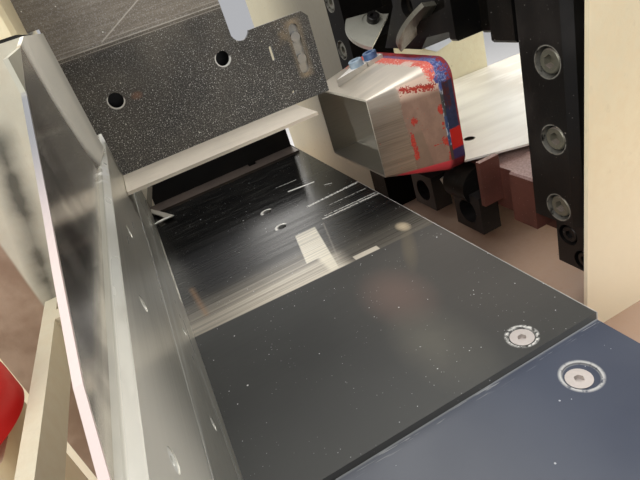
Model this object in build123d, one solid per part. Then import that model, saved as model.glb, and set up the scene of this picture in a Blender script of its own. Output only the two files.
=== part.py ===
"""Label die cutting machine: a ram pushes a stack of sheets off a table through a hollow die.

Lengths are in millimetres. While the pieces are modelled, x runs from the guide fence towards the die,
y from the front edge of the main table plate away from the operator, and z up from the table's top.
Each piece is moved at the end, so that the origin is at the middle of the machine's footprint on the floor.
"""
from build123d import *
import os
from math import atan2, cos, degrees, radians, sin, tan

# Bed and base
table_height = 900.0
bed_drop = 105.0
bed_thickness = 25.0
bed_left = 450.0
bed_right = 600.0
bed_front = 301.0
bed_rear = 749.0
cabinet_inset = 15.0
plinth_inset = 60.0
plinth_height = 90.0
foot_height = 60.0
foot_radius = 40.0
foot_inset = 110.0
foot_stem_radius = 10.0
panel_thickness = 3.0
panel_margin = 90.0

# Table
table_thickness = 12.0
table_right = 190.5
table_depth = 461.0
fence_back = 7.0
front_plate_drop = 3.8
front_plate_right = 189.0
front_plate_length = 280.0
plate_gap = 0.4
label_hole_radius = 4.0
label_hole_x = 101.4
label_hole_y = (248.0, 292.0)
rail_width = 25.0
rail_x = (26.0, 153.0)
rail_margin = 6.0
screw_edge = 11.0
front_screw_edge = 22.0
countersink_radius = 7.1
worn_countersink_radius = 8.2
worn_hole_shift = 1.4
table_screw_size = 6.0
table_screw_head_radius = 6.0
table_screw_length = 22.0
screw_clearance = 0.1

# Rear of the table
rear_fence_margin = 18.0
stop_bar_depth = 27.0
stop_bar_height = 3.0
stop_notch_x = 131.0
stop_notch_width = 10.0
stop_notch_depth = 9.0
rear_fence_height = 80.0
rear_fence_thickness = 6.0
rear_fence_foot = 16.0
rear_right_margin = 4.5
deflector_thickness = 1.5
deflector_reach = 21.0
deflector_length = 24.0
deflector_height = 76.0

# Guide fence
fence_bar_thickness = 5.0
fence_joint = 63.0
fence_bar_top = 121.0
fence_bevel = 3.4
fence_groove = 0.8
mirror_front_z = 122.8
mirror_edge = ((-74.0, 122.8), (-57.0, 132.8), (-23.0, 144.8), (0.0, 152.3), (36.0, 164.8), (76.0, 179.0),
               (80.0, 192.0), (133.0, 195.0), (171.0, 200.0))
mirror_top = 200.0
mirror_end = 300.0
post_front = 171.0
post_rear = 232.0
fence_screw_radius = 3.5
fence_screw_rows = (32.0, 100.0)
fence_screw_pitch = 82.0
fence_screw_start = -53.0
fence_screw_count = 3
fence_rail_height = 60.0
fence_rail_depth = 20.0
fence_rail_x = 70.0
fence_rail_thickness = 8.0

# Die
die_start = 194.0
die_length = 70.0
die_rim_width = 12.0
die_centre_y = 266.0
die_bottom = 16.6
die_width = 106.8
die_height = 68.4
die_wall = 1.6
die_flare_side = 16.0
die_flare_top = 11.0
die_flare_bottom = 17.0
die_edge_radius = 1.8
die_rim_radius = 15.0
die_bore_radius = 1.0
lug_start = 202.5
lug_length = 50.0
lug_depth = 13.0
lug_point = 20.0
lug_y = 281.0
lug_top = 93.0
lug_rise = 6.4
lug_screw_radius = 4.0
lug_head_radius = 6.5
lug_head_height = 6.0
lug_screw_x = (228.0, 243.5)
socket_depth = 3.0

# Frame
frame_face = 266.0
frame_thickness = 50.0
near_bar_y = 82.0
near_bar_width = 40.0
near_bar_chamfer = 5.0
near_bar_bottom = -21.0
far_bar_y = 374.0
far_bar_width = 37.0
frame_top = 300.0
frame_screw_radius = 5.0
frame_head_radius = 8.0
frame_head_height = 10.0
counterbore_radius = 10.0
counterbore_depth = 11.5
frame_screw_z = (-8.7, 43.4, 95.0, 146.0, 198.0)
near_screw_y = 99.3
far_screw_y = 398.0
head_block_bottom = 210.0
lower_block_step = 12.0
lower_block_bottom = -68.0
lower_block_rear = 115.0
lower_leg_depth = 32.0
lower_screw_places = ((104.4, -40.3), (91.0, -58.2))
small_screw_radius = 4.0
small_head_radius = 6.5
small_head_height = 6.5
small_screw_length = 9.0
frame_screw_length = 20.0
gib_pieces = ((125.0, 22.6, 106.0, 0.0), (147.6, 39.4, 105.0, 24.0), (187.0, 7.5, 106.6, 0.0))
head_front = 314.0
head_thickness = 28.0
die_bracket_length = 38.0
packing_block_width = 25.0
packing_block_depth = 45.0
packing_block_top = 7.0
packing_block_bottom = -36.0
side_plate_y = 182.3
side_plate_thickness = 5.0
side_plate_top = 6.0
side_plate_bottom = -36.0
beam_setback = 20.0
beam_thickness = 55.0
beam_top = -6.0
beam_bottom = -46.0
support_block_y = (191.3, 265.7)
support_block_width = 38.7
support_block_bottom = -69.0
support_block_top = -31.0
support_bore_radius = 12.0
support_bore_depth = 14.0

# Waste knives, each lying in a plane that holds the x axis and leans out from the die
knife_thickness = 4.0
knife_slope = 36.0
knife_foot_z = 99.5
far_knife_y = 320.0
near_knife_y = 266.6
knife_start = 261.0
knife_height = 48.0
knife_width = 52.0
near_knife_height = 62.0
near_knife_width = 27.0
knife_bulge = 9.0
knife_screw_x = 24.0
knife_screw_s = 34.0
knife_recess_radius = 11.0
knife_cut_radius = 10.0
knife_cut_x = 44.0
knife_cut_s = 44.0
holder_setback = 10.0
holder_near_y = 194.5
holder_far_y = 286.0
holder_under = ((114.0, 194.5), (107.8, 239.7), (96.0, 252.7), (96.0, 317.0))
holder_shoulder = 134.0
holder_cheek = ((107.8, 239.7), (121.0, 237.0), (132.0, 194.5))
holder_bore_y = 263.0
holder_bore_z = 132.0
holder_bore_radius = 9.0
wedge_y = (340.0, 362.0)
wedge_z = (104.0, 150.0)
back_plate_bottom = 118.0
lower_knife_y = 236.0
lower_knife_points = ((261.0, -22.0), (273.5, -19.0), (285.6, -22.0), (285.0, -34.0), (277.0, -45.0),
                      (267.0, -39.0))
lower_body_radius = 18.0
lower_body_depth = 31.0
lower_body_z = -27.0

# Hold-down
hold_plate_y = 274.0
hold_plate_thickness = 4.0
hold_plate_left = 0.5
ear_left = -4.5
ear_bottom = 125.0
wing_bottom = 204.5
stiffener_bottom = 128.0
stiffener_thickness = 6.0
stiffener_left = 8.0
stiffener_right = 121.0
hold_plate_right = 190.0
hold_plate_bottom = 89.0
ear_top = 157.5
fold_height = 182.0
fold_angle = 20.0
hold_plate_top = 292.0
notch_left = 123.0
notch_right = 138.5
notch_bottom = 152.0
hold_hole_radius = 5.8
hold_holes = ((21.4, 143.4), (110.4, 144.5))
long_slot_x = 174.7
long_slot_bottom = 110.0
long_slot_top = 151.0
long_slot_width = 9.0
short_slot_x = 150.8
short_slot_bottom = 128.7
short_slot_top = 140.7
short_slot_width = 3.0
pin_holes = ((158.5, 99.0), (186.0, 101.0))
pin_hole_radius = 1.5
ledge_thickness = 2.5
ledge_depth = 51.0
ledge_right = 156.0
strip_height = 5.0
strip_depth = 24.0
strip_right = 150.0
strip_left = 20.0
arm_bottom = 215.0
arm_height = 36.0
arm_depth = 40.0
arm_right = 112.0
block_left = -85.0
block_right = -12.8
block_front = 221.0
block_depth = 147.0
block_bottom = 203.5
block_height = 58.0
buffer_thickness = 3.5
column_radius = 12.5
column_x = -42.0
column_y = (285.0, 345.0)
column_top = 352.0
column_play = 0.06
clamp_bar_x = 164.0
clamp_bar_width = 22.0
clamp_bar_height = 44.0
clamp_head_z = (122.0, 140.0)

# Ram
ram_y = 266.0
ram_z = 41.0
pusher_width = 140.0
pusher_bottom = 4.0
pusher_top = 78.0
pusher_thickness = 8.6
pusher_setback = 0.4
pusher_play = 1.5
pusher_block_length = 40.0
rod_radius = 16.0
guide_rod_radius = 9.0
guide_rod_offset = 57.0
guide_play = 0.05
portal_depth = 56.0
portal_wing = 47.0
portal_wing_thickness = 12.0
portal_front = 170.0
portal_rear = 362.0
portal_top = 200.0
ram_stroke = 185.0
guide_block_start = 80.0
guide_block_length = 55.0
cylinder_gap = 5.0
end_plate_thickness = 25.0
end_plate_width = 90.0
end_plate_height = 90.0
tube_radius = 35.0
bore_radius = 25.0
piston_thickness = 18.0
piston_play = 0.1
tie_rod_radius = 5.0
tie_rod_offset = 37.0
nut_radius = 8.5
nut_height = 8.0

# Housing and outfeed
sheet = 3.0
cover_near_y = 72.0
housing_depth = 222.0
cover_edge = ((257.8, -105.0), (271.5, 128.0), (281.6, 300.0))
housing_height = 420.0
far_housing_y = 411.0
far_housing_depth = 312.0
far_wall_setback = 28.0
top_cover_bottom = 250.0
cover_return = 60.0
tray_corner_x = 268.6
tray_corner_y = 205.2
tray_near_x = 319.0
tray_near_y = 184.4
tray_far_y = 438.0
tray_end = 566.0
tray_thickness = 2.0
tray_slope = 1.5
tray_height = 3.0
tray_hole = (303.0, 243.0)
tray_hole_radius = 4.5
tray_leg_x = (362.0, 506.0)
tray_leg = 30.0

# Controls
box_width = 170.0
box_depth = 90.0
box_height = 145.0
box_x = 335.0
box_y = -245.0
start_button_radius = 15.0
start_button_height = 12.0
start_button_travel = 4.0
start_button_spread = 52.0
bezel_radius = 19.0
bezel_height = 4.0
switch_radius = 12.0
switch_height = 16.0
stop_x = -114.0
stop_y = 76.0
stop_button_radius = 40.0
stop_button_height = 32.0
stop_button_travel = 6.0
stop_button_z = 66.0
stop_box_width = 60.0
stop_box_height = 110.0
button_play = 0.3
button_stem = 6.0

footprint_centre_x = (bed_right - bed_left) / 2
footprint_centre_y = (bed_rear - bed_front) / 2
bed_top = -bed_drop
bed_bottom = bed_top - bed_thickness
table_bottom = -table_thickness
front_plate_top = -front_plate_drop
rear_fence_y = table_depth - rear_fence_margin
stop_bar_y = rear_fence_y - stop_bar_depth
frame_back = frame_face + frame_thickness
die_top = die_bottom + die_height
die_rim_start = die_start + die_length - die_rim_width


def block(x0, x1, y0, y1, z0, z1):
    """A box between two corners."""
    solid = Box(x1 - x0, y1 - y0, z1 - z0, align=Align.MIN)
    return Pos(x0, y0, z0) * solid


def rod_x(radius, x0, x1, y, z):
    """A round bar along x."""
    return Pos((x0 + x1) / 2, y, z) * Rot(0, 90, 0) * Cylinder(radius, x1 - x0)


def rod_y(radius, y0, y1, x, z):
    """A round bar along y."""
    return Pos(x, (y0 + y1) / 2, z) * Rot(90, 0, 0) * Cylinder(radius, y1 - y0)


def rod_z(radius, z0, z1, x, y):
    """A round bar along z."""
    return Pos(x, y, (z0 + z1) / 2) * Cylinder(radius, z1 - z0)


def plate_yz(points, x0, x1):
    """A plate with an outline in y and z, from x0 to x1."""
    outline = Plane.YZ.offset(x0) * make_face(Polyline(*points, close=True))
    return extrude(outline, x1 - x0)


def plate_xz(points, y0, y1):
    """A plate with an outline in x and z, from y0 to y1."""
    outline = Plane.XZ.offset(-y1) * make_face(Polyline(*points, close=True))
    return extrude(outline, y1 - y0)


def cap_screw_x(radius, head_radius, head_height, length, x, y, z):
    """A socket head cap screw that points along +x, its head's top at x."""
    head = rod_x(head_radius, x, x + head_height, y, z)
    head = chamfer(head.edges().filter_by(GeomType.CIRCLE).sort_by(Axis.X)[0], head_height * 0.08)
    shank = rod_x(radius, x + head_height, x + head_height + length, y, z)
    socket = Pos(x, y, z) * Rot(0, 90, 0) * extrude(RegularPolygon(radius * 0.9, 6), head_height * 0.5)
    return head + shank - socket


def cap_screw_z(radius, head_radius, head_height, length, x, y, z):
    """A socket head cap screw that points down, its head's top at z."""
    head = rod_z(head_radius, z - head_height, z, x, y)
    head = chamfer(head.edges().filter_by(GeomType.CIRCLE).sort_by(Axis.Z)[-1], head_height * 0.08)
    shank = rod_z(radius, z - head_height - length, z - head_height, x, y)
    socket = Pos(x, y, z - head_height * 0.5) * extrude(RegularPolygon(radius * 0.9, 6), head_height)
    return head + shank - socket


def counterbore_x(x, y, z, radius, bore_radius_, depth, length):
    """The space of a counterbored hole along +x from the face at x."""
    return rod_x(bore_radius_, x, x + depth, y, z) + rod_x(radius, x, x + depth + length, y, z)


def countersunk_screw(x, y, z):
    """A countersunk socket screw, its flat head's top at z."""
    radius = table_screw_size / 2
    head_height = table_screw_head_radius - radius
    head = Pos(x, y, z - head_height / 2) * Cone(radius, table_screw_head_radius, head_height)
    shank = rod_z(radius, z - table_screw_length, z - head_height, x, y)
    socket = Pos(x, y, z - head_height * 0.8) * extrude(RegularPolygon(radius * 0.77, 6), head_height)
    return head + shank - socket


def countersink(x, y, z, radius, depth):
    """The space of a countersunk hole from the face at z."""
    hole = table_screw_size / 2 + screw_clearance
    cone_height = radius - hole
    cone = Pos(x, y, z - cone_height / 2) * Cone(hole, radius, cone_height)
    return cone + rod_z(hole, z - depth, z, x, y)


# Base
def bed_plate():
    return block(-bed_left, bed_right, -bed_front, bed_rear, bed_bottom, bed_top)


def base_cabinet():
    bottom = foot_height - table_height
    upper = block(-bed_left + cabinet_inset, bed_right - cabinet_inset, -bed_front + cabinet_inset,
                  bed_rear - cabinet_inset, bottom + plinth_height, bed_bottom)
    upper = fillet(upper.edges().filter_by(Axis.Z), cabinet_inset)
    plinth = block(-bed_left + plinth_inset, bed_right - plinth_inset, -bed_front + plinth_inset,
                   bed_rear - plinth_inset, bottom, bottom + plinth_height)
    return upper + plinth


def panel_box(side):
    """Corners of the service panel on a face of the cabinet: its span along the face, and its height."""
    low = foot_height - table_height + plinth_height + panel_margin
    high = bed_bottom - panel_margin
    if side in ("front", "rear"):
        return -bed_left + panel_margin, bed_right - panel_margin, low, high
    return -bed_front + panel_margin, bed_rear - panel_margin, low, high


def service_panels():
    """A flat cover on the cabinet's front and a louvred one on its left side."""
    start, end, low, high = panel_box("front")
    face = -bed_front + cabinet_inset
    front = block(start, end, face - panel_thickness, face, low, high)
    start, end, low, high = panel_box("left")
    face = -bed_left + cabinet_inset
    side = block(face - panel_thickness, face, start, end, low, high)
    louvre_count = 8
    louvre_pitch = 24.0
    middle = (low + high) / 2
    for index in range(louvre_count):
        z = middle + (index - (louvre_count - 1) / 2) * louvre_pitch
        side -= block(face - panel_thickness, face, start + 200, end - 200, z, z + louvre_pitch / 3)
    return Compound(children=[front, side])


def foot_places():
    for x in (-bed_left + foot_inset, bed_right - foot_inset):
        for y in (-bed_front + foot_inset, bed_rear - foot_inset):
            yield x, y


def levelling_feet():
    """Round pads with a cone and a threaded stem, one under each corner."""
    floor = -table_height
    pad_height = 12.0
    neck = 22.0
    feet = []
    for x, y in foot_places():
        pad = rod_z(foot_radius, floor, floor + pad_height, x, y)
        pad += Pos(x, y, floor + pad_height + neck / 2) * Cone(foot_radius * 0.6, foot_stem_radius * 1.4, neck)
        pad += rod_z(foot_stem_radius, floor + pad_height + neck, floor + foot_height, x, y)
        feet.append(pad)
    return Compound(children=feet)


# Table
def main_screw_places():
    """One screw on each rail, the left one under the rear stop bar."""
    return [(rail_x[0], stop_bar_y + stop_bar_depth / 2), (rail_x[1] - 1, screw_edge)]


def front_screw_places():
    return [(x, -front_screw_edge) for x in (rail_x[0], rail_x[1] + 1)]


def table_plate():
    plate = block(-fence_back, table_right, 0, table_depth, table_bottom, 0)
    for y in label_hole_y:
        plate -= rod_z(label_hole_radius, table_bottom, 0, label_hole_x, y)
    for x, y in main_screw_places():
        plate -= countersink(x, y, 0, countersink_radius, table_thickness)
    return chamfer(plate.edges().group_by(Axis.Z)[-1].filter_by(Axis.Y).sort_by(Axis.X)[-1], 0.5)


def front_table_plate():
    top = front_plate_top
    plate = block(-fence_back, front_plate_right, -front_plate_length, -plate_gap,
                  top - table_thickness, top)
    for x, y in front_screw_places():
        plate -= countersink(x, y, top, countersink_radius, table_thickness)
        plate -= Pos(x + worn_hole_shift, y, top - 0.5) * Cylinder(worn_countersink_radius, 1.0)
    return plate


def table_screws():
    screws = [countersunk_screw(x, y, -0.6) for x, y in main_screw_places()]
    screws += [countersunk_screw(x, y, front_plate_top - 0.7) for x, y in front_screw_places()]
    return Compound(children=screws)


def screw_seat(x, y, top):
    """The threaded hole under a table screw."""
    return rod_z(table_screw_size / 2 + screw_clearance, top - table_screw_length - 4, top, x, y)


def table_rails():
    """Two rails under the main plate and two lower ones under the front plate."""
    rails = []
    for x, (screw_x, screw_y) in zip(rail_x, main_screw_places()):
        rail = block(x - rail_width / 2, x + rail_width / 2, rail_margin - 3, table_depth - rail_margin,
                     bed_top, table_bottom)
        rails.append(rail - screw_seat(screw_x, screw_y, 0))
    top = front_plate_top
    for x, (screw_x, screw_y) in zip(rail_x, front_screw_places()):
        rail = block(x - rail_width / 2, x + rail_width / 2, -front_plate_length + rail_margin, -rail_margin,
                     bed_top, top - table_thickness)
        rails.append(rail - screw_seat(screw_x, screw_y, top))
    return Compound(children=rails)


def rear_stop_bar():
    bar = block(0, table_right - rear_right_margin, stop_bar_y, rear_fence_y, 0, stop_bar_height)
    half = stop_notch_width / 2
    return bar - block(stop_notch_x - half, stop_notch_x + half, rear_fence_y - stop_notch_depth,
                       rear_fence_y, 0, stop_bar_height)


def rear_fence():
    """An upright plate with a foot that lies on the table's far edge."""
    right = table_right - rear_right_margin
    upright = block(-fence_bar_thickness, right, rear_fence_y, rear_fence_y + rear_fence_thickness,
                    0, rear_fence_height)
    foot = block(-fence_bar_thickness, right, rear_fence_y, table_depth, 0, rear_fence_thickness)
    return upright + foot


def corner_deflector():
    """A thin sheet with a pointed toe on the table and a narrow pointed blade up the fence."""
    y1 = stop_bar_y
    y0 = y1 - deflector_length
    t = deflector_thickness
    toe = make_face(Polyline((0, y0), (deflector_reach, y0 - 2), (t, y1), (0, y1), close=True))
    opening = make_face(Polyline((3.5, y0 + 4), (12, y0 + 2), (3.5, y1 - 8), close=True))
    sheet_part = extrude(toe, t) - extrude(opening, t)
    return sheet_part + plate_yz([(y1 - 16, 0), (y1 - 9, deflector_height), (y1 - 4, 0)], 0, t)


# Guide fence
def pusher_window(x0, x1, play=pusher_play):
    """The opening for the pusher, from x0 to x1."""
    half = pusher_width / 2 + play
    return block(x0, x1, ram_y - half, ram_y + half, pusher_bottom - play, pusher_top + play)


def fence_screw_places():
    for z in fence_screw_rows:
        for index in range(fence_screw_count):
            yield fence_screw_start + index * fence_screw_pitch, z


def fence_bar(low, high, bevel):
    """One ground bar of the fence, with a bevel along its top and a fine groove at the joint."""
    t = fence_bar_thickness
    bar = block(-t, 0, -front_plate_length + rail_margin, rear_fence_y, low, high)
    top_edge = bar.edges().filter_by(Axis.Y).group_by(Axis.Z)[-1].sort_by(Axis.X)[-1]
    bar = chamfer(top_edge, bevel)
    bar -= pusher_window(-t, 0)
    radius = fence_screw_radius
    for y, z in fence_screw_places():
        if low < z < high:
            bar -= rod_x(radius + screw_clearance, -t, 0, y, z)
    return bar


def fence_lower_bar():
    return fence_bar(0, fence_joint, fence_groove)


def fence_upper_bar():
    return fence_bar(fence_joint, fence_bar_top, fence_bevel)


def fence_screws():
    """Flush screws that hold both bars to the mirror plate."""
    t = fence_bar_thickness
    screws = []
    for y, z in fence_screw_places():
        screw = rod_x(fence_screw_radius, -t, -0.3, y, z)
        screws.append(screw - rod_x(1.4, -t / 2, -0.3, y, z))
    return Compound(children=screws)


def fence_mirror_plate():
    """The tall polished plate behind the bars, cut away towards the operator, with a post on the bars."""
    front = -front_plate_length + rail_margin
    points = [(front, 0), (rear_fence_y, 0), (rear_fence_y, fence_bar_top), (mirror_end, fence_bar_top),
              (mirror_end, mirror_top)]
    points += reversed(mirror_edge)
    points.append((front, mirror_front_z))
    plate = plate_yz(points, -fence_back, -fence_bar_thickness)
    plate -= pusher_window(-fence_back, -fence_bar_thickness)
    t = fence_bar_thickness
    post = Plane.XY.offset(fence_bar_top) * make_face(Polyline((-t, post_front), (0, post_rear), (-t, post_rear),
                                                               close=True))
    return plate + extrude(post, mirror_top - fence_bar_top)


def fence_rail():
    """A painted stiffening rail on posts, parallel to the fence, with arms that carry its front end."""
    x0 = -fence_rail_x
    x1 = x0 + fence_rail_thickness
    y0 = -front_plate_length + rail_margin
    top = fence_rail_height
    rail = block(x0, x1, y0, portal_front, top - fence_rail_depth, top)
    post = block(x0, x1, y0, y0 + 30, bed_top, top - fence_rail_depth)
    arm = block(x1, -fence_back, y0, y0 + 12, top - fence_rail_depth, top)
    return rail + post + arm + Pos(0, portal_front - 30 - y0, 0) * arm


# Ram
def ram_portal():
    """The painted casting that carries the fence and the hold-down columns, with the ram's passage."""
    body = block(-fence_back - portal_depth, -fence_back, portal_front, portal_rear, bed_top, portal_top)
    body = chamfer(body.edges().filter_by(Axis.Z).sort_by(Axis.X)[1], 8)
    back = -fence_back - portal_depth
    body += block(back - portal_wing, back, portal_front, portal_front + portal_wing_thickness, bed_top, portal_top)
    body -= pusher_window(-fence_back - portal_depth, -fence_back)
    for y in column_y:
        body -= rod_z(column_radius, pusher_top + 20, portal_top, column_x, y)
    return body


def pusher_plate():
    """The ground plate that meets the stack, its face just behind the fence's face."""
    half = pusher_width / 2
    front = -pusher_setback
    plate = block(front - pusher_thickness, front, ram_y - half, ram_y + half, pusher_bottom, pusher_top)
    groove = [(front - fence_groove, fence_joint), (front, fence_joint - fence_groove),
              (front, fence_joint + fence_groove)]
    return plate - plate_xz(groove, ram_y - half, ram_y + half)


def pusher_block():
    half = pusher_width / 2 - 1
    back = -pusher_setback - pusher_thickness
    body = block(back - pusher_block_length, back, ram_y - half, ram_y + half,
                 pusher_bottom + 6, pusher_top - 6)
    body = chamfer(body.edges().filter_by(Axis.X), 4)
    body -= rod_x(rod_radius, back - pusher_block_length, back - pusher_block_length / 2, ram_y, ram_z)
    for side in (-1, 1):
        y = ram_y + side * guide_rod_offset
        body -= rod_x(guide_rod_radius, back - pusher_block_length, back - pusher_block_length / 2, y, ram_z)
    return body


def rod_front():
    """Where the ram's rods end inside the pusher block."""
    return -pusher_setback - pusher_thickness - pusher_block_length / 2


cylinder_front = -guide_block_start - guide_block_length - cylinder_gap
tube_length = ram_stroke + piston_thickness + 12
cylinder_back = cylinder_front - end_plate_thickness - tube_length


def ram_rod():
    """The piston rod with its grooved piston."""
    start = cylinder_back + 4
    groove_0 = start + piston_thickness * 0.4
    groove_1 = start + piston_thickness * 0.6
    piston = rod_x(bore_radius - piston_play, start, start + piston_thickness, ram_y, ram_z)
    groove = rod_x(bore_radius, groove_0, groove_1, ram_y, ram_z)
    piston -= groove - rod_x(bore_radius - 2, groove_0, groove_1, ram_y, ram_z)
    return piston + rod_x(rod_radius, start + piston_thickness / 2, rod_front(), ram_y, ram_z)


def guide_rods():
    start = -guide_block_start - guide_block_length - ram_stroke
    rods = []
    for side in (-1, 1):
        rods.append(rod_x(guide_rod_radius, start, rod_front(), ram_y + side * guide_rod_offset, ram_z))
    return Compound(children=rods)


def guide_block():
    """The pedestal that guides the rods, bored for them with running play."""
    x1 = -guide_block_start
    x0 = x1 - guide_block_length
    half = guide_rod_offset + guide_rod_radius + 14
    body = block(x0, x1, ram_y - half, ram_y + half, bed_top, ram_z + 34)
    body = fillet(body.edges().filter_by(Axis.X).group_by(Axis.Z)[-1], 10)
    body -= rod_x(rod_radius + 3, x0, x1, ram_y, ram_z)
    for side in (-1, 1):
        body -= rod_x(guide_rod_radius + guide_play, x0, x1, ram_y + side * guide_rod_offset, ram_z)
    return body


def cylinder_end(x0, bore, blind):
    """An end plate of the cylinder that stands on the bed."""
    half = end_plate_width / 2
    x1 = x0 + end_plate_thickness
    body = block(x0, x1, ram_y - half, ram_y + half, bed_top, ram_z + end_plate_height / 2)
    body = chamfer(body.edges().filter_by(Axis.X).group_by(Axis.Z)[-1], 8)
    if not blind:
        body -= rod_x(bore, x0, x1, ram_y, ram_z)
    for y, z in tie_rod_places():
        body -= rod_x(tie_rod_radius, x0, x1, y, z)
    return body


def tie_rod_places():
    for y in (-1, 1):
        for z in (-1, 1):
            yield ram_y + y * tie_rod_offset, ram_z + z * tie_rod_offset


def cylinder_end_plates():
    front = cylinder_end(cylinder_front - end_plate_thickness, rod_radius + guide_play, False)
    rear = cylinder_end(cylinder_back - end_plate_thickness, rod_radius, True)
    return Compound(children=[front, rear])


def cylinder_tube():
    x1 = cylinder_front - end_plate_thickness
    tube = rod_x(tube_radius, cylinder_back, x1, ram_y, ram_z)
    return tube - rod_x(bore_radius, cylinder_back, x1, ram_y, ram_z)


def tie_rods():
    """Four rods with hexagon nuts that hold the cylinder's ends together."""
    x0 = cylinder_back - end_plate_thickness
    x1 = cylinder_front
    rods = []
    for y, z in tie_rod_places():
        rod = rod_x(tie_rod_radius, x0 - nut_height, x1, y, z)
        nut = Pos(x0, y, z) * Rot(0, -90, 0) * extrude(RegularPolygon(nut_radius, 6), nut_height)
        rods.append(rod + nut)
    return Compound(children=rods)


# Hold-down
def fold_shift(z):
    """How far the folded upper part of the hold-down plate leans back at height z."""
    return (z - fold_height) * tan(radians(fold_angle))


def folded_part(low, x0, x1):
    """A strip of the folded upper part of the hold-down plate, from height low to its top."""
    y0 = hold_plate_y
    y1 = y0 + hold_plate_thickness
    top = hold_plate_top
    side = [(y0 + fold_shift(low), low), (y1 + fold_shift(low), low), (y1 + fold_shift(top), top),
            (y0 + fold_shift(top), top)]
    return plate_yz(side, x0, x1)


def hold_down_plate():
    """A laser cut plate, folded back above the notch, with a round bottomed notch, holes and slots."""
    y0 = hold_plate_y
    t = hold_plate_thickness
    left, right = hold_plate_left, hold_plate_right
    lower = block(left, right, y0, y0 + t, hold_plate_bottom, ear_top)
    corner = lower.edges().filter_by(Axis.Y).group_by(Axis.Z)[-1].sort_by(Axis.X)[-1]
    lower = chamfer(corner, 5)
    lower += block(ear_left, left, y0, y0 + t, ear_bottom, fold_height)
    lower += block(left, notch_left, y0, y0 + t, ear_top, fold_height)
    plate = lower + folded_part(fold_height, ear_left, notch_left) + folded_part(wing_bottom, block_right, ear_left)
    notch_radius = (notch_right - notch_left) / 2
    notch_x = notch_left + notch_radius
    plate -= rod_y(notch_radius, y0, y0 + t, notch_x, notch_bottom + notch_radius)
    for x, z in hold_holes:
        plate -= rod_y(hold_hole_radius, y0, y0 + t, x, z)
    for x, z in pin_holes:
        plate -= rod_y(pin_hole_radius, y0, y0 + t, x, z)
    plate -= slot_y(long_slot_x, long_slot_bottom, long_slot_top, long_slot_width, y0, y0 + t)
    plate -= slot_y(short_slot_x, short_slot_bottom, short_slot_top, short_slot_width, y0, y0 + t)
    return plate


def slot_y(x, bottom, top, width, y0, y1):
    """The space of an upright slot with round ends."""
    r = width / 2
    ends = rod_y(r, y0, y1, x, bottom + r) + rod_y(r, y0, y1, x, top - r)
    return ends + block(x - r, x + r, y0, y1, bottom + r, top - r)


def hold_down_ledge():
    """The bright bar under the plate, with a second step below it."""
    top = hold_plate_bottom
    y1 = hold_plate_y + hold_plate_thickness
    y0 = hold_plate_y - ledge_depth
    ledge = block(hold_plate_left, ledge_right, y0, y1, top - ledge_thickness, top)
    step = block(strip_left, strip_right, y1 - strip_depth, y1, top - ledge_thickness - strip_height,
                 top - ledge_thickness)
    return ledge + step


def hold_down_arm():
    """The bar behind the folded part, whose front follows its lean, with a stiffener behind the holes."""
    y0 = hold_plate_y + hold_plate_thickness
    top = arm_bottom + arm_height
    back = y0 + fold_shift(top) + arm_depth
    points = [(y0 + fold_shift(arm_bottom), arm_bottom), (back, arm_bottom), (back, top),
              (y0 + fold_shift(top), top)]
    y1 = y0 + fold_shift(arm_bottom)
    stiffener = block(stiffener_left, stiffener_right, y1, y1 + stiffener_thickness, stiffener_bottom, arm_bottom)
    return plate_yz(points, block_right, arm_right) + stiffener


def hold_down_block():
    """The painted block that slides on two columns."""
    body = block(block_left, block_right, block_front, block_front + block_depth,
                 block_bottom, block_bottom + block_height)
    body = chamfer(body.edges().filter_by(Axis.Z), 3)
    for y in column_y:
        body -= rod_z(column_radius + column_play, block_bottom, block_bottom + block_height, column_x, y)
    return body


def hold_down_buffer():
    """The black pad that the block comes to rest on."""
    pad = block(block_left + 24, block_right - 1, block_front + 2, block_front + block_depth - 8,
                portal_top, portal_top + buffer_thickness)
    pad &= block(-fence_back - portal_depth, block_right - 1, block_front, portal_rear,
                 portal_top, portal_top + buffer_thickness)
    for y in column_y:
        pad -= rod_z(column_radius + 1, portal_top, portal_top + buffer_thickness, column_x, y)
    return pad


def guide_columns():
    columns = [rod_z(column_radius, pusher_top + 20, column_top, column_x, y) for y in column_y]
    return Compound(children=columns)


def slot_clamp():
    """The bar behind the long slot with its two low screws, which show through the slot."""
    y0 = hold_plate_y + hold_plate_thickness
    low = long_slot_bottom - 2
    clamp = block(clamp_bar_x, clamp_bar_x + clamp_bar_width, y0, y0 + 8, low, low + clamp_bar_height)
    clamp = chamfer(clamp.edges().filter_by(Axis.Y), 2)
    for z in clamp_head_z:
        clamp += rod_y(long_slot_width / 2 - 0.4, y0 - 3, y0, long_slot_x, z)
    return clamp


# Die
def rounded_section(x, width, height, centre_z, radius):
    """A rounded rectangle across the die's axis."""
    plane = Plane(origin=(x, die_centre_y, centre_z), x_dir=(0, 1, 0), z_dir=(1, 0, 0))
    return plane * RectangleRounded(width, height, radius)


def die_outer():
    """The outside of the die: a square mouth that flares into a round cornered rim."""
    mouth = rounded_section(die_start, die_width, die_height, die_bottom + die_height / 2, die_edge_radius)
    rim_height = die_height + die_flare_top + die_flare_bottom
    rim_z = die_bottom - die_flare_bottom + rim_height / 2
    rim_width = die_width + 2 * die_flare_side
    rim = rounded_section(die_rim_start, rim_width, rim_height, rim_z, die_rim_radius)
    return loft([mouth, rim], ruled=True) + extrude(rim, die_rim_width)


def hollow_die():
    bore = rounded_section(die_start, die_width - 2 * die_wall, die_height - 2 * die_wall,
                           die_bottom + die_height / 2, die_bore_radius)
    return die_outer() - extrude(bore, die_length)


def lug_height(x):
    """The height of the lug's sloping top at x."""
    return lug_top + lug_rise * (x - lug_start) / lug_length


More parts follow.
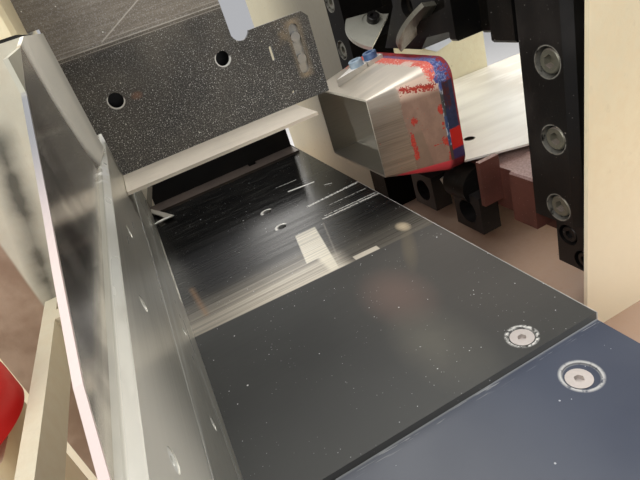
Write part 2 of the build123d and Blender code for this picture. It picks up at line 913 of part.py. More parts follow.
def die_lug():
    """The pointed block on top of the die, its top sloping like the die's, slotted between its screws."""
    x0, x1 = lug_start, lug_start + lug_length
    y0, y1 = lug_y, lug_y + lug_depth
    low = die_top - 2
    plan = make_face(Polyline((x0, y0), (x1, y0), (x1, y1), (x0 + lug_point, y1), close=True))
    side = [(x0, low), (x1, low), (x1, lug_height(x1)), (x0, lug_height(x0))]
    lug = plate_xz(side, y0, y1) & Pos(0, 0, low) * extrude(plan, lug_height(x1) - low)
    slit_x = (lug_screw_x[0] + lug_screw_x[1]) / 2
    lug -= block(slit_x - 0.8, slit_x + 0.8, y0, y0 + 4, low, lug_height(x1))
    lug -= die_outer()
    for x in lug_screw_x:
        lug -= lug_axis(x) * Cylinder(lug_screw_radius, 40)
    return lug


def lug_axis(x):
    """Where a lug screw's head meets the lug, square to its top."""
    tilt = degrees(atan2(lug_rise, lug_length))
    return Pos(x, lug_y + lug_depth / 2, lug_height(x)) * Rot(0, -tilt, 0)


def lug_screws():
    """Two socket head screws, cut off where they meet the die."""
    shank_length = 6.0
    screws = []
    for x in lug_screw_x:
        screw = lug_axis(x) * cap_screw_z(lug_screw_radius, lug_head_radius, lug_head_height, shank_length,
                                          0, 0, lug_head_height)
        screws.append(screw - die_outer())
    return Compound(children=screws)


# Frame
def frame_bar(y0, width, bottom, screw_y, near_chamfer):
    bar = block(frame_face, frame_back, y0, y0 + width, bottom, frame_top)
    if near_chamfer:
        edge = bar.edges().filter_by(Axis.Z).group_by(Axis.X)[0].sort_by(Axis.Y)[0]
        bar = chamfer(edge, near_chamfer)
    for z in frame_screw_z:
        if z - counterbore_radius > bottom:
            bar -= counterbore_x(frame_face, screw_y, z, frame_screw_radius + screw_clearance,
                                 counterbore_radius, counterbore_depth, frame_screw_length + 4)
    return bar


def near_frame_bar():
    return frame_bar(near_bar_y, near_bar_width, near_bar_bottom, near_screw_y, near_bar_chamfer)


def far_frame_bar():
    return frame_bar(far_bar_y, far_bar_width, bed_top, far_screw_y, 0)


def frame_bar_screws():
    """The cap screws in the counterbores of both bars."""
    screws = []
    x = frame_face + counterbore_depth - frame_head_height
    for y in (near_screw_y, far_screw_y):
        for z in frame_screw_z:
            screws.append(cap_screw_x(frame_screw_radius, frame_head_radius, frame_head_height,
                                      frame_screw_length, x, y, z))
    return Compound(children=screws)


def lower_frame_block():
    """The block under the near bar, set back from the bar's face, with a leg behind it on the bed."""
    face = frame_face + lower_block_step
    y0 = near_bar_y - 4
    body = block(face, frame_back, y0, lower_block_rear, lower_block_bottom, near_bar_bottom)
    body += block(frame_back, frame_back + lower_leg_depth, y0, lower_block_rear, bed_top, near_bar_bottom)
    for y, z in lower_screw_places:
        body -= counterbore_x(face, y, z, small_screw_radius + screw_clearance, small_head_radius + 2,
                              small_head_height + 1, small_screw_length + 3)
    return body


def cross_head():
    """The top beam between the bars, with the plate that hangs from its back behind the knives."""
    y0 = near_bar_y + near_bar_width
    beam = block(frame_face, head_front + head_thickness, y0, far_bar_y, head_block_bottom, frame_top)
    beam += block(head_front, head_front + head_thickness, y0, far_bar_y, back_plate_bottom,
                  head_block_bottom)
    return beam + far_knife_bracket()


def upper_gibs():
    """Three plates that hang from the cross head beside the near bar."""
    gibs = []
    for y, width, bottom, step in gib_pieces:
        gib = block(frame_face + step, head_front, y, y + width, bottom, head_block_bottom)
        edge = gib.edges().filter_by(Axis.Y).group_by(Axis.Z)[0].sort_by(Axis.X)[0]
        gibs.append(chamfer(edge, 2))
    return Compound(children=gibs)


def packing_block():
    """The corners of the brown block: it lies between the near bar and the beam."""
    y0 = near_bar_y + near_bar_width
    return block(frame_face, frame_face + packing_block_depth, y0, y0 + packing_block_width,
                 packing_block_bottom, packing_block_top)


def lower_beam():
    """The beam across the bottom of the window, between the two bars."""
    x0 = frame_face + beam_setback
    beam = block(x0, x0 + beam_thickness, near_bar_y + near_bar_width, far_bar_y, beam_bottom, beam_top)
    return beam - packing_block()


def packing_blocks():
    """The brown block beside the near bar and the thin brown plate beside the lower knife."""
    packing = packing_block()
    packing = chamfer(packing.edges().group_by(Axis.Z)[-1].filter_by(Axis.Y).sort_by(Axis.X)[0], 1.5)
    side = block(frame_face, frame_face + beam_setback, side_plate_y, side_plate_y + side_plate_thickness,
                 side_plate_bottom, side_plate_top)
    return Compound(children=[packing, side])


def support_blocks():
    """Two blocks under the die, bolted to the beam through large counterbores."""
    x0 = frame_face
    x1 = frame_face + beam_setback
    blocks = []
    for y in support_block_y:
        body = block(x0, x1, y, y + support_block_width, support_block_bottom, support_block_top)
        z_mid = (support_block_bottom + support_block_top) / 2
        body -= rod_x(support_bore_radius, x0, x0 + support_bore_depth, y + support_block_width / 2, z_mid)
        blocks.append(body - lower_knife_holder())
    return Compound(children=blocks)


def die_bracket():
    """The bracket that holds the die's rim on the far frame bar."""
    rim_side = die_centre_y + die_width / 2 + die_flare_side
    x0 = die_rim_start
    x1 = frame_face + die_bracket_length - die_rim_width
    return block(x0 + 2, x1, rim_side, far_bar_y, die_bottom + 2, die_top - 12)


# Knives
def knife_plane(y, side):
    """The plane of an upper knife: x along the die's axis, the other way up and out from the die."""
    lean = radians(knife_slope)
    return Plane(origin=(knife_start, y, knife_foot_z), x_dir=(1, 0, 0),
                 z_dir=(0, -side * sin(lean), cos(lean)))


def knife_blade(y, side, width, height, bulge):
    """A pointed half-moon blade with a ground face, its curved edge towards the table."""
    plane = knife_plane(y, side)
    out = side
    foot = (2, 0)
    corner = (1, out * height)
    edge = ThreePointArc(foot, (-bulge, out * height * 0.42), corner)
    top = Line(corner, (width, out * height * 0.86))
    back = Line((width, out * height * 0.86), foot)
    face = plane * make_face([edge, top, back])
    return extrude(face, knife_thickness / 2, both=True)


def far_upper_knife():
    """The blade on the far side, with a round recess for its screw and a hollow cut beside its horn."""
    blade = knife_blade(far_knife_y, 1, knife_width, knife_height, knife_bulge)
    plane = knife_plane(far_knife_y, 1)
    place = plane * Pos(knife_screw_x, knife_screw_s, 0)
    recess = place * Pos(0, 0, knife_thickness / 2) * Cylinder(knife_recess_radius, 2.4)
    hole = place * Cylinder(small_screw_radius + screw_clearance, knife_thickness * 2)
    cut = plane * Pos(knife_cut_x, knife_cut_s, 0) * Cylinder(knife_cut_radius, knife_thickness * 2)
    return blade - recess - hole - cut


def near_upper_knife():
    return knife_blade(near_knife_y, -1, near_knife_width, near_knife_height, knife_bulge)


def knife_holder():
    """The black holder between the knives, with a cheek towards the table on its near side."""
    x0 = frame_face + holder_setback
    under = [(y, z) for z, y in holder_under]
    points = under + [(holder_far_y, holder_shoulder), (holder_far_y, head_block_bottom),
                      (holder_near_y, head_block_bottom)]
    holder = plate_yz(points, x0, head_front)
    cheek = [under[0]] + [(y, z) for z, y in holder_cheek]
    holder += plate_yz(cheek, frame_face, x0)
    y, z, r = holder_bore_y, holder_bore_z, holder_bore_radius
    holder -= rod_x(r, x0, x0 + 6, y, z) + rod_x(r * 0.55, x0, x0 + 16, y, z)
    return holder - near_upper_knife() - far_upper_knife()


def far_knife_bracket():
    """The wedge behind the far knife, fixed to the hanging plate."""
    plane = knife_plane(far_knife_y, 1)
    wedge = block(knife_start + 14, head_front, *wedge_y, *wedge_z)
    span = head_block_bottom
    above = plane * Pos(0, 0, -knife_thickness / 2) * extrude(Rectangle(span, span), span)
    place = plane * Pos(knife_screw_x, knife_screw_s, 0)
    return wedge - above - place * Cylinder(small_screw_radius + screw_clearance, 22)


def small_cap_screws():
    """Three screws of one size: two in the lower frame block and one in the far knife."""
    r = small_screw_radius
    head = chamfer(Cylinder(small_head_radius, small_head_height).edges().group_by(Axis.Z)[-1], 0.4)
    screw = Pos(0, 0, -small_head_height / 2) * head
    screw += Pos(0, 0, -small_head_height) * Pos(0, 0, -small_screw_length / 2) * Cylinder(r, small_screw_length)
    screw -= Pos(0, 0, -small_head_height * 0.5) * extrude(RegularPolygon(r * 0.9, 6), small_head_height)
    face = frame_face + lower_block_step + 1
    screws = [Pos(face, y, z) * Rot(0, -90, 0) * screw for y, z in lower_screw_places]
    top = knife_thickness / 2 - 1.2 + small_head_height
    screws.append(knife_plane(far_knife_y, 1) * Pos(knife_screw_x, knife_screw_s, top) * screw)
    return Compound(children=screws)


def lower_knife():
    """A pointed blade under the die, beside its round holder."""
    return plate_xz(lower_knife_points, lower_knife_y, lower_knife_y + knife_thickness)


def lower_knife_holder():
    """The round black body beside the lower knife, carried by the beam."""
    y1 = lower_knife_y
    y0 = y1 - lower_body_depth
    r = lower_body_radius
    body = rod_y(r, y0, y1, frame_face + r - 5, lower_body_z)
    return body & block(frame_face - r, frame_face + beam_setback, y0, y1, lower_body_z - r, lower_body_z + r)


# Housing
def frame_cover():
    """The bent hood over the frame: a side wall, a top with a front lip, and the outfeed end."""
    x0 = frame_face
    x1 = x0 + housing_depth
    y0 = cover_near_y
    high = housing_height - sheet
    outline = [*cover_edge, (x0 - sheet, frame_top), (x0 - sheet, high), (x1, high), (x1, bed_top)]
    wall = plate_xz(outline, y0, y0 + sheet)
    end = block(x1 - sheet, x1, y0 + sheet, y0 + sheet + cover_return, bed_top, high)
    end += block(x1 - sheet, x1, y0 + sheet, far_housing_y + far_wall_setback, top_cover_bottom, high)
    top = block(x0, x1, y0, far_housing_y, high, housing_height)
    top += block(frame_back, x1, y0, far_housing_y + far_wall_setback, high, housing_height)
    lip = block(x0 - sheet, x0, y0, far_housing_y, frame_top, housing_height)
    return wall + end + top + lip


def far_housing():
    """The closed housing beyond the window, its wall set back along the outfeed."""
    x1 = frame_face + housing_depth
    y1 = far_housing_y + far_housing_depth
    y_wall = far_housing_y + far_wall_setback
    body = block(frame_face, x1, y_wall, y1, bed_top, housing_height)
    body += block(frame_face, frame_back, far_housing_y, y_wall, bed_top, housing_height)
    rear = body.edges().filter_by(Axis.Z).group_by(Axis.Y)[-1]
    return fillet(rear, 6)


def tray_z(x):
    """The height of the tray's top at x."""
    return tray_height - (x - tray_corner_x) * tan(radians(tray_slope))


def outfeed_tray():
    """A bright sheet from the window outwards, with one small hole, on two legs."""
    x_wide = frame_back + 4
    y_bar = far_bar_y - 2
    plan = [(tray_corner_x, tray_corner_y), (tray_near_x, tray_near_y), (tray_end, tray_near_y),
            (tray_end, tray_far_y), (x_wide, tray_far_y), (x_wide, y_bar), (tray_corner_x, y_bar)]
    side = [(tray_corner_x, tray_z(tray_corner_x)), (tray_end, tray_z(tray_end)),
            (tray_end, tray_z(tray_end) - tray_thickness), (tray_corner_x, tray_z(tray_corner_x) - tray_thickness)]
    outline = Plane.XY.offset(bed_top) * make_face(Polyline(*plan, close=True))
    tray = plate_xz(side, tray_near_y, tray_far_y) & extrude(outline, table_height)
    x, y = tray_hole
    tray -= rod_z(tray_hole_radius, beam_top, tray_height, x, y)
    for x in tray_leg_x:
        top = tray_z(x + 6) - tray_thickness / 2
        tray += block(x, x + 6, tray_near_y + 20, tray_far_y - 20, bed_top, top)
        tray += block(x + 6, x + 6 + tray_leg, tray_near_y + 20, tray_far_y - 20, bed_top, bed_top + 6)
    return tray


# Controls
def control_box():
    """A small desk for the two start buttons and the main switch."""
    x0 = box_x - box_width / 2
    y0 = box_y - box_depth / 2
    top = bed_top + box_height
    body = block(x0, x0 + box_width, y0, y0 + box_depth, bed_top, top)
    body = fillet(body.edges().filter_by(Axis.Z), 6)
    for x in start_button_places():
        body += rod_z(bezel_radius, top, top + bezel_height, x, box_y)
        body -= rod_z(start_button_radius + button_play, top, top + bezel_height, x, box_y)
        body -= rod_z(button_stem + button_play, top - 20, top, x, box_y)
    return body - rod_z(button_stem / 2 + button_play, top - 20, top, box_x, box_y)


def start_button_places():
    return box_x - start_button_spread, box_x + start_button_spread


def start_button(x):
    """A flat mushroom button on a stem."""
    top = bed_top + box_height
    low = top + start_button_travel + 0.5
    cap = rod_z(start_button_radius, low, low + start_button_height, x, box_y)
    cap = chamfer(cap.edges().filter_by(GeomType.CIRCLE).sort_by(Axis.Z)[-1], 2.5)
    return cap + rod_z(button_stem, top - 12, low, x, box_y)


def main_switch():
    """A rotary switch with a raised grip."""
    top = bed_top + box_height + 0.3
    knob = rod_z(switch_radius, top, top + switch_height * 0.5, box_x, box_y)
    grip = block(box_x - 3.5, box_x + 3.5, box_y - switch_radius, box_y + switch_radius,
                 top + switch_height * 0.5, top + switch_height)
    return knob + grip + rod_z(button_stem / 2, top - 15, top, box_x, box_y)


def stop_box():
    """The post that carries the large stop button beside the fence."""
    half = stop_box_width / 2
    top = stop_button_z - stop_button_travel - 10
    body = block(stop_x - half, stop_x + half, stop_y - half, stop_y + half, top - stop_box_height + 8, top)
    body = fillet(body.edges().filter_by(Axis.Z), 8)
    post = rod_z(20, bed_top, top - stop_box_height + 8, stop_x, stop_y)
    return body + post - rod_z(button_stem * 1.5 + button_play, top - 25, top, stop_x, stop_y)


def stop_button():
    """A large domed mushroom button."""
    top = stop_button_z - stop_button_travel - 10
    low = top + stop_button_travel + 1
    cap = rod_z(stop_button_radius, low, low + stop_button_height, stop_x, stop_y)
    cap = fillet(cap.edges().filter_by(GeomType.CIRCLE).sort_by(Axis.Z)[-1], stop_button_height * 0.6)
    return cap + rod_z(button_stem * 1.5, top - 16, low, stop_x, stop_y)


pieces = {
    "bed_plate": bed_plate(),
    "base_cabinet": base_cabinet(),
    "service_panels": service_panels(),
    "levelling_feet": levelling_feet(),
    "table_plate": table_plate(),
    "front_table_plate": front_table_plate(),
    "table_screws": table_screws(),
    "table_rails": table_rails(),
    "rear_stop_bar": rear_stop_bar(),
    "rear_fence": rear_fence(),
    "corner_deflector": corner_deflector(),
    "fence_lower_bar": fence_lower_bar(),
    "fence_upper_bar": fence_upper_bar(),
    "fence_screws": fence_screws(),
    "fence_mirror_plate": fence_mirror_plate(),
    "fence_rail": fence_rail(),
    "ram_portal": ram_portal(),
    "pusher_plate": pusher_plate(),
    "pusher_block": pusher_block(),
    "ram_rod": ram_rod(),
    "guide_rods": guide_rods(),
    "guide_block": guide_block(),
    "cylinder_end_plates": cylinder_end_plates(),
    "cylinder_tube": cylinder_tube(),
    "tie_rods": tie_rods(),
    "hold_down_plate": hold_down_plate(),
    "hold_down_ledge": hold_down_ledge(),
    "hold_down_arm": hold_down_arm(),
    "hold_down_block": hold_down_block(),
    "hold_down_buffer": hold_down_buffer(),
    "guide_columns": guide_columns(),
    "slot_clamp": slot_clamp(),
    "hollow_die": hollow_die(),
    "die_lug": die_lug(),
    "lug_screws": lug_screws(),
    "die_bracket": die_bracket(),
    "near_frame_bar": near_frame_bar(),
    "far_frame_bar": far_frame_bar(),
    "frame_bar_screws": frame_bar_screws(),
    "lower_frame_block": lower_frame_block(),
    "small_cap_screws": small_cap_screws(),
    "cross_head": cross_head(),
    "upper_gibs": upper_gibs(),
    "lower_beam": lower_beam(),
    "packing_blocks": packing_blocks(),
    "support_blocks": support_blocks(),
    "far_upper_knife": far_upper_knife(),
    "near_upper_knife": near_upper_knife(),
    "knife_holder": knife_holder(),
    "lower_knife": lower_knife(),
    "lower_knife_holder": lower_knife_holder(),
    "frame_cover": frame_cover(),
    "far_housing": far_housing(),
    "outfeed_tray": outfeed_tray(),
    "control_box": control_box(),
    "main_switch": main_switch(),
    "stop_box": stop_box(),
    "stop_button": stop_button(),
    "start_button_left": start_button(start_button_places()[0]),
    "start_button_right": start_button(start_button_places()[1]),
}

to_floor = Pos(-footprint_centre_x, -footprint_centre_y, table_height)
os.makedirs("parts", exist_ok=True)
for name, piece in pieces.items():
    export_step(to_floor * piece, f"parts/{name}.step")
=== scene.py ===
# %% [markdown]
# A label die cutting machine, seen from the operator's side. The machine's solids come in as a fixed frame:
# every node already stands in its place, in metres, with the floor at z = 0. This lesson gives the solids
# their finishes and adds a few small pieces that only matter to the eye, such as panel screws.

# %% The frame
import math
import bpy
from mathutils import Matrix, Vector


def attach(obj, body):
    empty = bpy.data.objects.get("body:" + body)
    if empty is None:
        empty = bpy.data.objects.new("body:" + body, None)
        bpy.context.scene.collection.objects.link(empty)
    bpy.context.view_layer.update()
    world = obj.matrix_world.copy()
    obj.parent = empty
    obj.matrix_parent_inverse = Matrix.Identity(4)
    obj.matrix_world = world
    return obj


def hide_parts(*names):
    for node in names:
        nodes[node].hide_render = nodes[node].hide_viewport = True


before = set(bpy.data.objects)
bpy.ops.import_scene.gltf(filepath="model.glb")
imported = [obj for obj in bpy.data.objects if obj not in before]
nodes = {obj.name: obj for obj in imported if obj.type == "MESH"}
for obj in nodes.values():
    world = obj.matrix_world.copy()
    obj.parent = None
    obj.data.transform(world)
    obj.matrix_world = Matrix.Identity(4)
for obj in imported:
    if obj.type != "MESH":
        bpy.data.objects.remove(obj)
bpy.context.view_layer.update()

# %% [markdown]
# Everything on the table is easiest to place from the corner that the machine's drawing uses: x from the guide
# fence towards the die, y from the front edge of the main table plate, z up from the table's top, in
# millimetres. One function turns such a place into the frame's metres.

# %% Places on the table
DRAWING_ORIGIN = Vector((75.0, 224.0, -900.0))


def at(x, y, z):
    """A place of the drawing, in the frame's metres."""
    return (Vector((x, y, z)) - DRAWING_ORIGIN) / 1000


print("table corner", at(0, 0, 0))

# %% [markdown]
# The photograph was taken from above the table's near edge, with the camera rolled and pitched down. The three
# directions below are the camera's own right, up and back, found from the edges that run along the machine's
# axes. Building the camera's matrix from them keeps the roll, which a simple track-to constraint would lose.

# %% The camera
camera_data = bpy.data.cameras.new("camera")
camera_data.sensor_width = 36
camera_data.lens = 28.38
camera_data.clip_start = 0.01
camera = bpy.data.objects.new("camera", camera_data)
bpy.context.scene.collection.objects.link(camera)
camera_right = Vector((0.87581786, -0.38737126, -0.28790029))
camera_up = Vector((0.42756966, 0.34601503, 0.83513938))
camera_back = Vector((-0.22389117, -0.85452742, 0.46867434))
turn = Matrix((camera_right, camera_up, camera_back)).transposed().to_4x4()
camera.matrix_world = Matrix.Translation(at(26, -151, 190)) @ turn
bpy.context.scene.camera = camera
print("camera at", tuple(round(v, 3) for v in camera.matrix_world.translation))

# %% [markdown]
# The studio is plain: a pale floor, a pale world and a few large soft lamps. Polished steel shows what stands
# round it, so the world matters as much as the lamps. It is kept at a level at which a colour renders about as
# it is written.

# %% The studio
scene = bpy.context.scene
scene.view_settings.view_transform = "Standard"
FLOOR_SIZE = 14.0
bpy.ops.object.select_all(action="DESELECT")
bpy.ops.mesh.primitive_plane_add(size=FLOOR_SIZE, location=(0, 0, 0))
floor = bpy.context.object
floor.name = "studio_floor"
world = bpy.data.worlds.new("studio")
scene.world = world
world.use_nodes = True
world.node_tree.nodes["Background"].inputs["Color"].default_value = (0.95, 0.96, 1.0, 1)
world.node_tree.nodes["Background"].inputs["Strength"].default_value = 0.46


def soft_lamp(name, place, target, size, watts, colour=(1, 1, 1)):
    """A square area lamp that faces a place."""
    data = bpy.data.lights.new(name, "AREA")
    data.shape = "SQUARE"
    data.size = size
    data.energy = watts
    data.color = colour
    lamp = bpy.data.objects.new(name, data)
    scene.collection.objects.link(lamp)
    lamp.location = place
    lamp.rotation_euler = (Vector(target) - Vector(place)).to_track_quat("-Z", "Y").to_euler()
    return lamp


work_place = at(100, 200, 0)
soft_lamp("window_lamp", (1.2, 2.9, 3.0), work_place, 1.8, 84, (1.0, 0.97, 0.92))
soft_lamp("room_lamp", (-2.1, -1.9, 2.6), work_place, 2.2, 84)
soft_lamp("top_lamp", (0.3, 0.2, 3.4), work_place, 2.0, 42)
soft_lamp("outfeed_lamp", at(1000, 330, 330), at(420, 330, 0), 0.5, 8, (1.0, 0.98, 0.93))

# %% [markdown]
# Finishes are worked out as sums on shader sockets. The small class below wraps one socket, so that "mask * 0.5
# + 0.2" adds the Math nodes by itself. Most values are masks, 0 where a mark isn't and 1 where it is. Two
# functions beside the class make round and oval masks from two offsets.


# %% Sockets as numbers
class Value:
    """One output socket of a material, with arithmetic."""

    def __init__(self, look, socket):
        self.look = look
        self.socket = socket

    def math(self, operation, *others):
        return self.look.node("ShaderNodeMath", {"operation": operation}, [self, *others])

    def __add__(self, other):
        return self.math("ADD", other)

    def __sub__(self, other):
        return self.math("SUBTRACT", other)

    def __rsub__(self, other):
        return self.look.node("ShaderNodeMath", {"operation": "SUBTRACT"}, [other, self])

    def __mul__(self, other):
        return self.math("MULTIPLY", other)

    def __truediv__(self, other):
        return self.math("DIVIDE", other)

    def __pow__(self, other):
        return self.math("POWER", other)

    __radd__ = __add__
    __rmul__ = __mul__

    def near(self, middle, width):
        """1 at the middle value, falling to 0 at half the width on either side."""
        return 1 - ((self - middle).math("ABSOLUTE") / (width / 2)).least(1.0)

    def rise(self, low, high):
        """0 below low, 1 above high, smooth between; low may be the larger."""
        return self.look.node("ShaderNodeMapRange", {"interpolation_type": "SMOOTHSTEP"},
                              {"Value": self, "From Min": low, "From Max": high})

    def within(self, low, high, soft=1.0):
        """1 between two values, falling to 0 over the soft length outside them."""
        return self.rise(low - soft, low) * self.rise(high + soft, high)

    def most(self, other):
        return self.math("MAXIMUM", other)

    def least(self, other):
        return self.math("MINIMUM", other)

    def boosted(self, gain):
        """The mask times a gain, held at 1."""
        return (self * gain).least(1.0)


def distance(a, b):
    """The distance that two offsets at right angles make."""
    return (a ** 2.0 + b ** 2.0).math("SQRT")


def oval(a, half_a, b, half_b):
    """1 in the middle of an oval and 0 from its edge on; a and b are the offsets from its middle."""
    return (1 - ((a / half_a) ** 2.0 + (b / half_b) ** 2.0)).most(0.0)


def strongest(first, *others):
    """The largest of several masks at each point."""
    for mask in others:
        first = first.most(mask)
    return first


def shade(colour, by):
    """A colour made darker or lighter, with no part above 1."""
    return tuple(min(1.0, part * by) for part in colour)


print("arithmetic ready")

# %% [markdown]
# The second class holds one material. It adds any node from its type, its settings and its inputs, makes the
# patterns that all finishes share, and ends by feeding the Principled shader. Object coordinates are turned into
# the drawing's millimetres at once, so every mark can be placed as it would be measured.


# %% One look
class Look:
    """One material, built on object coordinates in millimetres of the drawing."""

    def __init__(self, name):
        self.material = bpy.data.materials.new(name)
        self.material.use_nodes = True
        self.tree = self.material.node_tree
        self.shader = self.tree.nodes["Principled BSDF"]
        coordinates = self.tree.nodes.new("ShaderNodeTexCoord")
        metres = Value(self, coordinates.outputs["Object"])
        self.place = self.node("ShaderNodeVectorMath", {"operation": "MULTIPLY_ADD"},
                               [metres, (1000, 1000, 1000), tuple(DRAWING_ORIGIN)])
        split = self.node_of("ShaderNodeSeparateXYZ", {}, [self.place])
        self.x, self.y, self.z = (Value(self, split.outputs[i]) for i in range(3))

    def feed(self, socket, value):
        """Links a value to a socket, or writes a number, a vector or a colour into it."""
        if isinstance(value, Value):
            self.tree.links.new(value.socket, socket)
        elif socket.type == "RGBA":
            socket.default_value = (*value, 1)
        else:
            socket.default_value = value

    def node_of(self, kind, settings, inputs):
        """Adds a node: settings first, then values or links by name or in order."""
        node = self.tree.nodes.new(kind)
        for key, value in settings.items():
            setattr(node, key, value)
        for key, value in inputs.items() if isinstance(inputs, dict) else enumerate(inputs):
            self.feed(node.inputs[key], value)
        return node

    def node(self, kind, settings, inputs, output=0):
        return Value(self, self.node_of(kind, settings, inputs).outputs[output])

    def stretched(self, sizes, shift=(0, 0, 0)):
        """The place divided by a pattern's size along each axis."""
        return self.node("ShaderNodeVectorMath", {"operation": "MULTIPLY_ADD"},
                         [self.place, tuple(1 / s for s in sizes), shift])

    def noise(self, sizes, detail=3.0, shift=(0, 0, 0), roughness=0.5):
        """Soft noise from 0 to 1; sizes are in millimetres along x, y and z."""
        if not isinstance(sizes, tuple):
            sizes = (sizes, sizes, sizes)
        inputs = {"Vector": self.stretched(sizes, shift), "Scale": 1.0, "Detail": detail, "Roughness": roughness}
        return self.node("ShaderNodeTexNoise", {}, inputs)

    def specks(self, size, radius, shift=(0, 0, 0)):
        """Round specks, 1 inside, spread at random about one to each cell of the size."""
        inputs = {"Vector": self.stretched((size, size, size), shift), "Scale": 1.0}
        return self.node("ShaderNodeTexVoronoi", {}, inputs, "Distance").rise(radius, radius * 0.6)

    def facing(self, axis, sign=1):
        """1 on faces that look along an axis, by the surface's own normal."""
        normal = self.node_of("ShaderNodeNewGeometry", {}, {}).outputs["Normal"]
        split = self.node_of("ShaderNodeSeparateXYZ", {}, [Value(self, normal)])
        return (Value(self, split.outputs["XYZ".index(axis)]) * sign).rise(0.5, 0.8)

    def ring(self, x, y, radius, width):
        """1 on a ring round an upright line, falling to 0 at half the width."""
        return distance(self.x - x, self.y - y).near(radius, width)

    def colour(self, mask, low, high):
        """A mix of two colours, or of two coloured values, by a mask."""
        return self.node("ShaderNodeMix", {"data_type": "RGBA"}, {0: mask, 6: low, 7: high}, 2)

    def layers(self, body, *coats):
        """Lays coats over a colour in turn; each is a mask and a colour."""
        for mask, coat in coats:
            body = self.colour(mask, body, coat)
        return body

    def done(self, colour, roughness, metallic=0.0, bump=None, bump_depth=0.1, coat=0.0, specular=0.5):
        """Feeds the shader. The bump's depth is in millimetres."""
        inputs = {"Base Color": colour, "Roughness": roughness, "Metallic": metallic, "Coat Weight": coat,
                  "Specular IOR Level": specular, "Coat Roughness": 0.08}
        if bump is not None:
            relief = {"Height": bump, "Distance": bump_depth / 1000, "Strength": 1.0}
            inputs["Normal"] = self.node("ShaderNodeBump", {}, relief, "Normal")
        for key, value in inputs.items():
            self.feed(self.shader.inputs[key], value)
        return self.material


print("looks ready")

# %% [markdown]
# Painted castings and sheets of such a machine have a thick cream coat with a faint orange peel, a little grime
# that gathers low down, and rubbed spots. A plain colour would look like plastic, so two noises of different
# size shift the colour, and a fine one makes the peel. Stains, painted shade and painted light that belong to one
# piece are added by its own function, which gets the look and its colour so far. A node is dressed as soon as its
# look is ready.


# %% Paint
PORTAL_EDGE_X = -72.0  # the painted edge of the portal, and the y at which its front ends
PORTAL_FRONT_Y = 183.0
BED_TOP = -100.0


def dress(material, *names):
    """Gives CAD nodes a finish."""
    for name in names:
        slots = nodes[name].data.materials
        slots.clear()
        slots.append(material)


def paint(name, colour, grime, peel=0.16, marks=None):
    """Sprayed paint with an orange peel and soft grime; marks adds stains, painted shade and painted light to the
    finished colour.
    """
    look = Look(name)
    cloud = look.noise(160, 4).rise(0.35, 0.75)
    spots = look.noise(14, 5, (3, 1, 2), 0.65).rise(0.6, 0.78)
    blotches = look.noise(7, 4, (6, 2, 5), 0.6)
    chips = look.specks(26, 0.035) * look.noise(60, 2).rise(0.5, 0.62)
    yellowed = tuple(part * weight for part, weight in zip(colour, (0.93, 0.88, 0.83)))
    body = look.colour(cloud, colour, shade(colour, 0.9))
    body = look.layers(
        body, (blotches.rise(0.35, 0.7) * 0.5, yellowed), (spots * 0.35, grime),
        (chips * 0.8, shade(grime, 0.45)))
    if marks:
        body = marks(look, body)
    relief = look.noise(2.6, 2) + look.noise(6, 3, (2, 2, 4)) * 0.6
    return look.done(body, 0.4 + spots * 0.15 + blotches * 0.08, 0.0, relief, peel)


def cover_marks(look, body):
    """A paler tone low down, painted light against the shade there, and a few short dark scratches low on the near
    cover.
    """
    low = look.noise((5, 0.7, 0.7), 2, (4, 4, 1)).rise(0.7, 0.76) * look.z.within(12, 55, 8)
    low = low * look.noise(16, 2, (7, 1, 3)).rise(0.58, 0.66)
    # The paler tone low down is painted light.
    return look.layers(body, (look.z.rise(60, -70) * 0.9, (1.0, 0.93, 0.72)), (low * 0.6, (0.2, 0.15, 0.09)))


def portal_marks(look, body):
    """The portal's front: a slanting painted shadow, and its outer part in the bed's paint, darkened as painted
    shade.
    """
    # The slanting dark band is a painted shadow; the brown of the outer part is darkened as painted shade.
    slanted_shadow = (look.x + 65.0 - (look.z - 60.0) * 0.235).near(0.0, 22) * look.z.within(40, 152, 18)
    slanted_shadow = (slanted_shadow * (0.75 + look.noise(22, 4).rise(0.3, 0.7) * 0.6)).least(1.0)
    dull = look.noise(30, 3, (2, 6, 1)).rise(0.35, 0.7)
    brown = look.colour(look.noise(18, 4, (5, 5, 2)).rise(0.35, 0.7), (0.27, 0.185, 0.125), (0.38, 0.28, 0.2))
    outer = (look.x - PORTAL_EDGE_X).rise(1.0, -1.0) * look.y.rise(PORTAL_FRONT_Y + 1, PORTAL_FRONT_Y - 1)
    return look.layers(
        body, (slanted_shadow * 0.92, (0.052, 0.05, 0.036)), (dull * 0.25, (0.3, 0.3, 0.24)),
        (outer, brown))


def bed_marks(look, body):
    """Behind the fence rail the bed is greyer, with patches of orange rust."""
    behind = look.x.rise(-2, -14) * look.x.rise(-330, -120) * look.z.rise(BED_TOP - 12, BED_TOP - 1)
    patches = look.noise(13, 4, (1, 7, 3), 0.6).rise(0.53, 0.63) * behind
    return look.layers(body, (behind * 0.75, (0.21, 0.18, 0.145)), (patches * 0.75, (0.46, 0.24, 0.12)))


def housing_marks(look, body):
    """The far housing is darker beside the frame, painted shade, with a few dark spots."""
    # The darkening beside the frame is painted shade.
    beside = look.x.rise(318, 290) * look.y.rise(640, 470) * look.z.rise(340, 215)
    spots = look.specks(17, 0.07, (3, 3, 3)).most(look.specks(7, 0.05))
    return look.layers(body, (beside * 0.8, (0.17, 0.15, 0.11)), (spots * 0.6, (0.22, 0.2, 0.13)))


